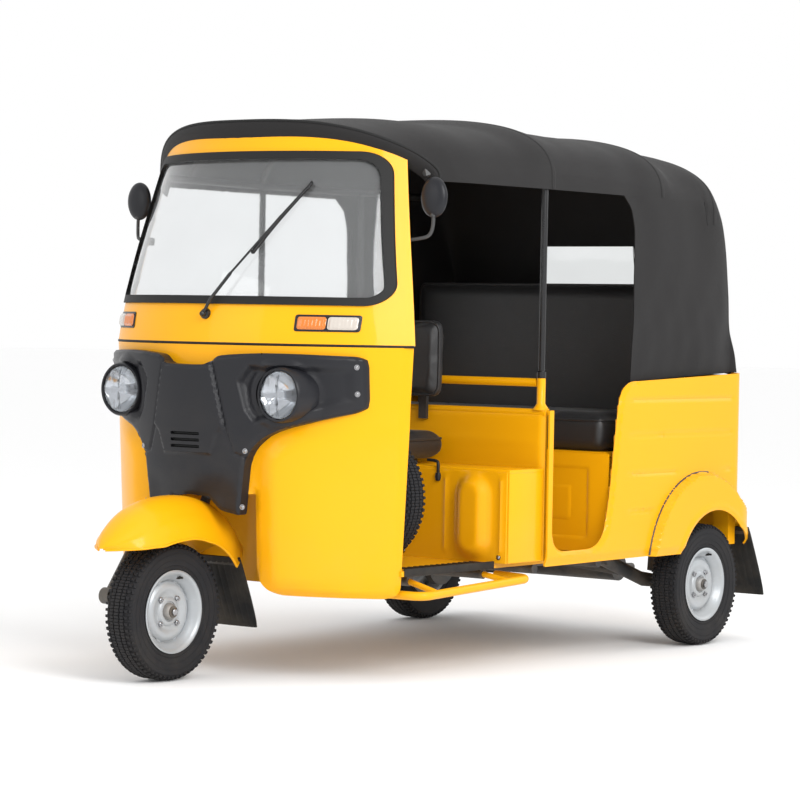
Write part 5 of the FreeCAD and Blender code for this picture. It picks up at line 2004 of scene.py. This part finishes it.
@dataclass
class Bulkheads(Maker):
    """The pressed sheets across the cabin: seat box, partition and bench front.

    Attributes:
        thick: Thickness of a sheet.
    """

    thick: float = 0.004

    BOX_FRONT = 0.888
    PARTITION = 1.070
    BENCH = 1.450

    def build(self) -> None:
        """Build each sheet."""
        self._seat_box()
        self._partition()
        self._bench()

    def box_relief(self, x: float, z: float) -> float:
        """Return the pressing of the seat box's front."""
        dome = line_distance(abs(abs(x) - 0.467), z, (0.0, 0.40), (0.0, 0.535))
        height = 0.030 * (1.0 - smooth((dome - 0.030) / 0.042))
        for line in (0.36, 0.57):
            height += bead(path_distance(abs(x), z, ((line, 0.36), (line, 0.59))), 0.008, 0.004)
        rim = min(0.6 - abs(x), 0.616 - z)
        return height - 0.010 * (1.0 - smooth(rim / 0.012))

    def _seat_box(self) -> None:
        """Press the front of the driver's seat box; its top is folded back."""
        front, back = station(self.BOX_FRONT), station(self.PARTITION)
        skin = CrossSkin(front + 0.001)
        plate = Plate(rectangle(-0.6, 0.330, 0.6, 0.616), skin, 0.010, self.thick, relief=self.box_relief)
        shape = Shape().add(plate.build())
        shape.add(block((-0.600, front + 0.004, 0.604), (0.600, back, 0.616), 0.003))
        for x in (-0.6, 0.586):
            shape.add(block((x, front + 0.004, 0.330), (x + 0.014, back, 0.606), 0.003))
        for x in (-0.565, -0.2, 0.2, 0.565):
            shape.add(screw((x, front, 0.348), (0, -1, 0)), 1)
        self.shop.piece("seat_box_skin", shape, [Coat.YELLOW, Coat.BRIGHT], stands_for=["seat_box"])

    def partition_relief(self, x: float, z: float) -> float:
        """Return the pressing of the partition."""
        height = 0.0
        for level in (0.46, 0.58, 0.70):
            near = between(0.60, 0.55, abs(x))
            height += bead(z - level, 0.012, 0.004) * near
        rim = min(0.6 - abs(x), 0.795 - z)
        return height - 0.008 * (1.0 - smooth(rim / 0.010))

    def _partition(self) -> None:
        """Press both faces of the partition and cap its top with a rolled edge."""
        shape = Shape()
        for y, facing in ((self.PARTITION, -1), (self.PARTITION + 0.024, 1)):
            outline = rectangle(-0.6, 0.330, 0.6, 0.793)
            if facing == 1:
                outline = flipped(outline)
            skin = CrossSkin(station(y), facing)
            plate = Plate(outline, skin, 0.014, self.thick, relief=self.partition_relief)
            shape.add(plate.build())
        run = [(x / 10 * 0.598, station(self.PARTITION + 0.012), 0.787) for x in range(-10, 11)]
        shape.add(tube(run, 0.0125))
        self.shop.piece("partition_skin", shape, [Coat.YELLOW], stands_for=["partition"])

    def bench_relief(self, x: float, z: float) -> float:
        """Return the pressing of the bench's front."""
        side = abs(x)
        panel = ((0.09, 0.38), (0.51, 0.38), (0.51, 0.60), (0.09, 0.60))
        depth = depth_inside(side, z, panel)
        height = -0.008 * smooth((depth + 0.004) / 0.012)
        inner = ((0.15, 0.43), (0.45, 0.43), (0.45, 0.55), (0.15, 0.55))
        height += 0.006 * smooth((depth_inside(side, z, inner) + 0.004) / 0.012)
        return height

    def _bench(self) -> None:
        """Press the bench's front panel over its CAD sheet."""
        skin = CrossSkin(station(self.BENCH) - 0.0045)
        plate = Plate(rectangle(-0.592, 0.334, 0.592, 0.650), skin, 0.009, 0.002, relief=self.bench_relief)
        self.shop.piece("bench_panel", plate.build(), [Coat.YELLOW])


@dataclass
class Posts(Maker):
    """The posts beside the doorways, black above the body and yellow below.

    Attributes:
        x: Distance from the centre plane.
        at: Station behind the front axle.
        radius: Radius of a post.
        upper: Radius above the parting.
        parting: Level at which the colour changes.
    """

    x: float = 0.572
    at: float = 1.089
    radius: float = 0.0130
    upper: float = 0.0105
    parting: float = 0.905

    def build(self) -> None:
        """Build both posts with their collars."""
        shape = Shape()
        low, top = (corner[2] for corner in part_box("door_posts"))
        r, upper, parting = self.radius, self.upper, self.parting
        black = [(0.0, top), (upper - 0.002, top), (upper, top - 0.002), (upper, parting)]
        yellow = [
            (r + 0.0004, parting + 0.002), (r + 0.0004, low + 0.02), (r + 0.010, low + 0.006),
            (r + 0.014, low + 0.002), (r + 0.014, low), (0.0, low)
        ]
        collar = [
            (r, parting - 0.012), (r + 0.002, parting - 0.010), (r + 0.002, parting + 0.008),
            (upper, parting + 0.012)
        ]
        for side in (-1, 1):
            at = (side * self.x, station(self.at), 0)
            for profile, coat in ((black, 0), (yellow, 1), (collar, 0)):
                shape.add(turned(profile, at, (0, 0, 1), 24), coat)
        self.shop.piece("posts", shape, [Coat.GLOSS_BLACK, Coat.YELLOW], stands_for=["door_posts"])


class Steps(Maker):
    """Rubber treads and lips along the floor's edges."""

    def build(self) -> None:
        """Build the treads and the lips."""
        shape = Shape()
        for side in (-1, 1):
            low = (side * 0.548 - 0.004, station(0.44), 0.313)
            high = (side * 0.548 + 0.004, station(0.886), 0.336)
            shape.add(block(low, high, 0.0015), 0)
            for index in range(16):
                y = station(0.50 + index * 0.028)
                ridge = block(
                    (side * 0.50 - 0.03, y, 0.3298), (side * 0.50 + 0.03, y + 0.010, 0.3325), 0.001
                )
                shape.add(ridge, 0)
        self.shop.piece("floor_treads", shape, [Coat.RUBBER])


# ---- Steering and front wheel's guard ----


@dataclass
class Fender(Maker):
    """The front wheel's yellow guard, with a flared lip and a side crease.

    Attributes:
        half: Half of its width.
        thick: Thickness of the sheet.
    """

    half: float = 0.110
    thick: float = 0.004

    ROWS = (
        (-54, 133, 122, 0.12, 0.0), (-49, 134, 92, 0.50, 0.010), (-42, 134, 62, 0.78, 0.014),
        (-28, 136, 27, 0.97, 0.010), (-4, 134, 12, 1.0, 0.004), (18, 143, 13, 1.0, 0.002),
        (33, 152, 22, 1.0, 0.0), (46, 156, 28, 1.0, 0.0), (58, 150, 34, 0.98, 0.0)
    )
    AXLE = (0.0, -1.0425, 0.203)
    TYRE = 203
    START, SPAN = -54, 112

    def point(self, across: float, along: float) -> Vector:
        """Return a point of the guard's face."""
        angle, crown, edge, share, flare = self.curve(self.START + self.SPAN * along)[1:]
        turn = math.radians(angle)
        side = 2 * across - 1
        reach = abs(side)
        fall = reach**2.6
        crease = 0.0035 * (1.0 - smooth(abs(reach - 0.80) / 0.10))
        height = (self.TYRE + crown + (edge - crown) * fall) / 1000 + crease
        x = side * self.half * share + math.copysign(flare * reach**6, side)
        up = Vector((0, math.sin(turn), math.cos(turn)))
        return Vector((x, 0, 0)) + Vector(self.AXLE) + up * height

    def build(self) -> None:
        """Build the guard and its rolled lip."""
        self.curve = curve_through([[row[0], *row] for row in self.ROWS])
        bm = surface(40, 64, self.point)
        top = max(bm.verts, key=lambda v: v.co.z)
        if top.normal.z < 0:
            reverse(bm)
        thicken(bm, self.thick)
        shape = Shape().add(bm)
        for side in (0.004, 0.996):
            run = [self.point(side, step / 40) for step in range(41)]
            shape.add(tube(run, 0.0035))
        run = [self.point(step / 30, 1.0) for step in range(31)]
        shape.add(tube(run, 0.0035))
        self.shop.piece("fender", shape, [Coat.YELLOW], "steering", ["front_fender"])


# ---- Mirrors, wiper, flaps and tail ----


@dataclass
class Mirrors(Maker):
    """Oval door mirrors on bent stalks with a clamp at the pillar.

    Attributes:
        centre: Middle of the left head.
        halves: Half width and half height of a head.
    """

    centre: Vector = Vector((0.585, -0.5425, 1.427))
    halves: tuple[float, float] = (0.046, 0.060)

    SHELL = (
        (0.0, -0.0155), (0.35, -0.0148), (0.66, -0.0122), (0.88, -0.0072), (0.98, -0.0010), (1.0, 0.0045),
        (0.985, 0.0085), (0.945, 0.0090), (0.925, 0.0070)
    )
    STALK = ((0.502, 0.470, 1.300), (0.556, 0.474, 1.303), (0.588, 0.500, 1.318), (0.586, 0.500, 1.372))

    def build(self) -> None:
        """Build both mirrors."""
        glass = ((0.0, 0.0074), (0.925, 0.0070))
        for name, side in SIDES:
            shape = Shape()
            for profile, finish in ((self.SHELL, 0), (glass, 2)):
                head = turned(profile, (0, 0, 0), (0, 1, 0), 48)
                size = (self.halves[0], 1.0, self.halves[1])
                bmesh.ops.scale(head, vec=size, verts=list(head.verts))
                bmesh.ops.translate(head, vec=self.centre, verts=list(head.verts))
                shape.add(head, finish)
            run = [(x, station(s), z) for x, s, z in self.STALK]
            shape.add(tube(run, 0.0055), 1)
            collar = ((0.0, 0.012), (0.009, 0.010), (0.010, -0.002), (0.0, -0.004))
            shape.add(turned(collar, run[-1], (0, 0, 1), 20), 1)
            foot = Vector(run[0])
            low, high = foot - Vector((0.006, 0.010, 0.014)), foot + Vector((0.010, 0.010, 0.010))
            shape.add(block(low, high, 0.003), 0)
            spot = foot + Vector((0.010, 0.0, -0.008))
            shape.add(screw(spot, (1, 0, 0), 0.0040), 1)
            if side == -1:
                bmesh.ops.scale(shape.whole, vec=(-1, 1, 1), verts=list(shape.whole.verts))
                reverse(shape.whole)
            coats = [Coat.BLACK_PLASTIC, Coat.BLACK_STEEL, Coat.MIRROR]
            self.shop.piece(f"mirror_{name}", shape, coats, stands_for=["mirrors"])


class Wiper(Maker):
    """The windscreen's wiper: spindle, sprung arm, claws and rubber."""

    ARM = ((0.033, 1.074, 0.016), (0.060, 1.118, 0.026), (0.110, 1.195, 0.026), (0.219, 1.362, 0.019))
    SPINDLE = ARM[0][:2]
    BLADE = ((0.159, 1.257), (0.189, 1.309), (0.219, 1.362), (0.249, 1.412), (0.279, 1.463))

    def build(self) -> None:
        """Build the wiper."""
        skin = CabSkin()
        shape = Shape()
        run = [skin.lay(*point) for point in self.ARM]
        shape.add(tube(run[:3], 0.0052, False), 0).add(tube(run[2:], 0.0034, False), 0)
        way = (skin.lay(*self.SPINDLE, 1.0) - skin.lay(*self.SPINDLE, 0.0)).normalized()
        cap = (
            (0.0, 0.020), (0.006, 0.019), (0.009, 0.015), (0.009, 0.006), (0.015, 0.004), (0.017, -0.006)
        )
        shape.add(turned(cap, skin.lay(*self.SPINDLE, 0.006), way, 24), 0)
        rubber = [skin.lay(x, z, 0.0065) for x, z in self.BLADE]
        shape.add(tube(rubber, 0.0052), 1)
        bridge = [skin.lay(x, z, 0.0125 + 0.004 * (index == 2)) for index, (x, z) in enumerate(self.BLADE)]
        shape.add(tube(bridge, 0.0042), 0)
        for point, claw in zip(rubber, bridge):
            shape.add(tube([point, claw], 0.0055, False), 0)
        self.shop.piece("wiper_arm", shape, [Coat.GLOSS_BLACK, Coat.RUBBER], stands_for=["wiper"])


@dataclass
class Flaps(Maker):
    """Moulded rubber mudflaps with upright ribs and a bolted strip.

    Attributes:
        thick: Thickness of the rubber.
        ribs: Number of upright ribs.
    """

    thick: float = 0.006
    ribs: int = 9

    def build(self) -> None:
        """Build the two rear flaps and the front one."""
        low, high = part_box("rear_mudflaps")
        top, foot = (low[1] + 0.004, high[2]), (high[1] - 0.012, low[2])
        for name, side in SIDES:
            self._flap(name, (side * 0.425, side * 0.640), top, foot, "chassis", "rear_mudflaps")
        low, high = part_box("front_mudflap")
        top, foot = (low[1] + 0.003, high[2]), (high[1] - 0.007, low[2])
        self._flap("front", (-0.104, 0.104), top, foot, "steering", "front_mudflap")

    def _flap(
        self, name: str, wide: tuple[float, float], top: tuple[float, float],
        foot: tuple[float, float], body: str, node: str
    ) -> None:
        """Build one flap.

        Args:
            name: Which flap it is.
            wide: Its two sides' X.
            top: Y and Z of its upper edge.
            foot: Y and Z of its lower edge.
            body: The body that it rides on.
            node: The CAD node that it replaces.
        """

        def place(across: float, along: float) -> Vector:
            """Return a point of the flap's face."""
            bow = 0.006 * math.sin(math.pi * along) * (1 - (2 * across - 1) ** 2)
            rib = 0.0016 * max(0.0, math.cos(math.tau * self.ribs * across)) ** 2
            rib *= smooth(along / 0.12) * smooth((1.0 - along) / 0.08)
            y = foot[0] + (top[0] - foot[0]) * along**1.15 - bow + rib
            return Vector((wide[0] + (wide[1] - wide[0]) * across, y, foot[1] + (top[1] - foot[1]) * along))

        bm = surface(72, 24, place)
        if sum(face.normal.y for face in bm.faces) < 0:
            reverse(bm)
        thicken(bm, self.thick)
        shape = Shape().add(bm)
        low, high = sorted(wide)
        strip_at = (low + 0.006, top[0] + 0.001, top[1] - 0.026)
        shape.add(block(strip_at, (high - 0.006, top[0] + 0.006, top[1] - 0.006), 0.001), 1)
        for step in range(4):
            x = low + (high - low) * (0.12 + 0.253 * step)
            shape.add(hex_bolt((x, top[0] + 0.006, top[1] - 0.016), (0, 1, 0), 0.0055), 1)
        self.shop.piece(f"mudflap_{name}", shape, [Coat.RUBBER, Coat.BLACK_STEEL], body, [node])


class Tail(Maker):
    """The rear lamps, and the engine lid's pressing with its latch."""

    def build(self) -> None:
        """Build the tail's pieces."""
        low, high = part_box("tail_lamps")
        rows = ((1, 0.62, 0.965), (2, 0.385, 0.605), (3, 0.035, 0.37))
        for name, side in SIDES:
            shape = Shape()
            inner, outer = sorted((side * 0.420, side * 0.510))
            shape.add(block((inner, low[1], low[2]), (outer, high[1] - 0.010, high[2]), 0.006), 0)
            tall = high[2] - low[2]
            for finish, start, end in rows:
                foot = low[2] + tall * start
                lens = block(
                    (inner + 0.005, low[1] + 0.004, foot), (outer - 0.005, high[1], low[2] + tall * end),
                    0.006, 3
                )
                for vert in lens.verts:
                    if vert.co.y > high[1] - 0.004:
                        vert.co.y -= 0.0012 * (1 + math.cos(vert.co.z * 900.0)) / 2
                shape.add(lens, finish)
            for rise in (0.375, 0.612):
                spot = ((inner + outer) / 2, high[1] - 0.010, low[2] + tall * rise)
                shape.add(screw(spot, (0, 1, 0), 0.004), 0)
            coats = [Coat.BLACK_PLASTIC, Coat.RED, Coat.AMBER, Coat.PALE_LENS]
            self.shop.piece(f"tail_lamp_{name}", shape, coats, stands_for=["tail_lamps"])
        self._lid()

    def lid_relief(self, x: float, z: float) -> float:
        """Return the height of the lid's pressing: a border, louvres and a rolled edge."""
        edge = min(0.326 - abs(x), z - 0.389, 0.628 - z)
        height = 0.006 * smooth(edge / 0.010)
        height -= 0.004 * smooth((edge - 0.030) / 0.012)
        for level in (0.46, 0.495, 0.53, 0.565):
            share = 1.0 - smooth(abs(z - level) / 0.010)
            height += 0.007 * share * (1.0 - smooth((abs(x) - 0.20) / 0.012))
        return height

    def _lid(self) -> None:
        """Press the lid and fit its latch."""
        low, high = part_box("tail_lid")
        skin = CrossSkin(high[1] - 0.002, 1)
        plate = Plate(
            rectangle(low[0], low[2], high[0], high[2], 0.006), skin, 0.006, 0.006, relief=self.lid_relief
        )
        shape = Shape().add(plate.build(), 0)
        latch = (0.0, high[1] + 0.003, low[2] + 0.030)
        profile = ((0.0, 0.012), (0.012, 0.011), (0.015, 0.006), (0.020, 0.004), (0.021, -0.003))
        shape.add(turned(profile, latch, (0, 1, 0), 28), 1)
        grip = Vector(latch) + Vector((0, 0.011, 0))
        shape.add(block(grip - Vector((0.012, 0.002, 0.003)), grip + Vector((0.012, 0.005, 0.003)), 0.001), 1)
        self.shop.piece("lid_skin", shape, [Coat.YELLOW, Coat.BLACK_PLASTIC], "tail_lid", ["tail_lid"])


class Controls(Maker):
    """The dial and the seat's catch, round the driver."""

    def build(self) -> None:
        """Build the dial and the seat's catch."""
        low, high = (Vector(corner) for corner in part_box("instrument_pod"))
        middle = (low + high) / 2
        at = (middle.x, middle.y, high.z - 0.001)
        shape = Shape()
        bezel = ((0.0, 0.002), (0.034, 0.002), (0.036, 0.006), (0.041, 0.006), (0.043, -0.002))
        shape.add(turned(bezel, at, (0, 0, 1), 40), 0)
        face = ((0.0, 0.0030), (0.034, 0.0030))
        shape.add(turned(face, at, (0, 0, 1), 40), 1)
        self.shop.piece("dial", shape, [Coat.GLOSS_BLACK, Coat.PALE_LENS], "steering")
        seat = Shape()
        y = station(0.893)
        run = [(0.285, y, 0.634), (0.322, y, 0.634), (0.330, y - 0.004, 0.622), (0.330, y - 0.004, 0.592)]
        seat.add(tube(run, 0.005), 0)
        knob = ((0.0, -0.014), (0.008, -0.012), (0.011, 0.0), (0.008, 0.012), (0.0, 0.014))
        seat.add(turned(knob, (0.330, y - 0.004, 0.584), (0, 0, 1), 20), 0)
        self.shop.piece("seat_catch", seat, [Coat.BLACK_PLASTIC])


# ---- CAD nodes that keep their own shape ----


@dataclass
class Dressing:
    """Gives the CAD nodes that stay visible their finishes.

    Attributes:
        finishes: The material store.
    """

    finishes: Finishes

    def build(self) -> None:
        """Dress every node."""
        by_slot = {
            "tyre": Coat.TYRE, "wheel_silver": Coat.SILVER, "body_yellow": Coat.YELLOW,
            "window_glass": Coat.GLASS, "lamp_lens": Coat.LENS, "amber_lens": Coat.AMBER,
            "red_lens": Coat.RED, "hood_vinyl": Coat.HOOD, "clear_sheet": Coat.CLEAR_SHEET,
            "seat_vinyl": Coat.SEAT, "black_rubber": Coat.RUBBER, "black_plastic": Coat.BLACK_PLASTIC,
            "cast_alloy": Coat.CAST, "black_steel": Coat.BLACK_STEEL
        }
        for part in frame["record"]["subparts"]:
            node = frame["nodes"][part["node"]]
            material = self.finishes.get(by_slot[part["material_slot"]])
            for index in range(max(1, len(node.material_slots))):
                if index < len(node.material_slots):
                    node.material_slots[index].material = material
                else:
                    node.data.materials.append(material)
        LOG.info("dressed %d nodes", len(frame["nodes"]))


def wheels(shop: Workshop) -> list[Wheel]:
    """Return the three road wheels and the spare one."""
    rear, level = station(2.0), 0.203
    front_at = (0.0, station(0.0), level)
    low, high = (Vector(corner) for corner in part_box("spare_tyre"))
    spare_at = tuple((low + high) / 2)
    rows = (
        ("front", front_at, 1, "front_wheel"), ("rear_left", (0.575, rear, level), 1, "rear_left_wheel"),
        ("rear_right", (-0.575, rear, level), -1, "rear_right_wheel")
    )
    road = [
        Wheel(shop, name, at, out, (f"{name}_tyre", f"{name}_rim"), body) for name, at, out, body in rows
    ]
    spare = ("spare_tyre", "spare_rim")
    return [*road, Wheel(shop, "spare", spare_at, 1, spare, "chassis", hub=False, turn=-90.0)]


def cushions(shop: Workshop) -> list[Cushion]:
    """Return the seats and the backrests."""
    sewn = (0.2, 0.4, 0.6, 0.8)
    return [
        Cushion(shop, "driver_pad", "driver_seat", 0.026, 0.008),
        Cushion(shop, "driver_back_pad", "driver_backrest", 0.032, 0.012, pleats=7),
        Cushion(shop, "bench_pad", "passenger_seat", 0.030, 0.012, sewn),
        Cushion(shop, "bench_back_pad", "passenger_backrest", 0.030, 0.012)
    ]


def main() -> None:
    """Build the studio and every piece, in order."""
    logging.basicConfig(level=logging.INFO, format="%(message)s")
    Studio().build()
    finishes = Finishes()
    Dressing(finishes).build()
    shop = Workshop(finishes)
    builders = [
        Cowl(shop), Fascia(shop), Headlamps(shop), Indicators(shop), Hood(shop), SidePanel(shop, 1),
        SidePanel(shop, -1), *wheels(shop), *cushions(shop), Bulkheads(shop), Posts(shop), Steps(shop),
        Fender(shop), Mirrors(shop), Wiper(shop), Flaps(shop), Tail(shop), Controls(shop)
    ]
    for builder in builders:
        builder.build()


if __name__ == "__main__":
    main()
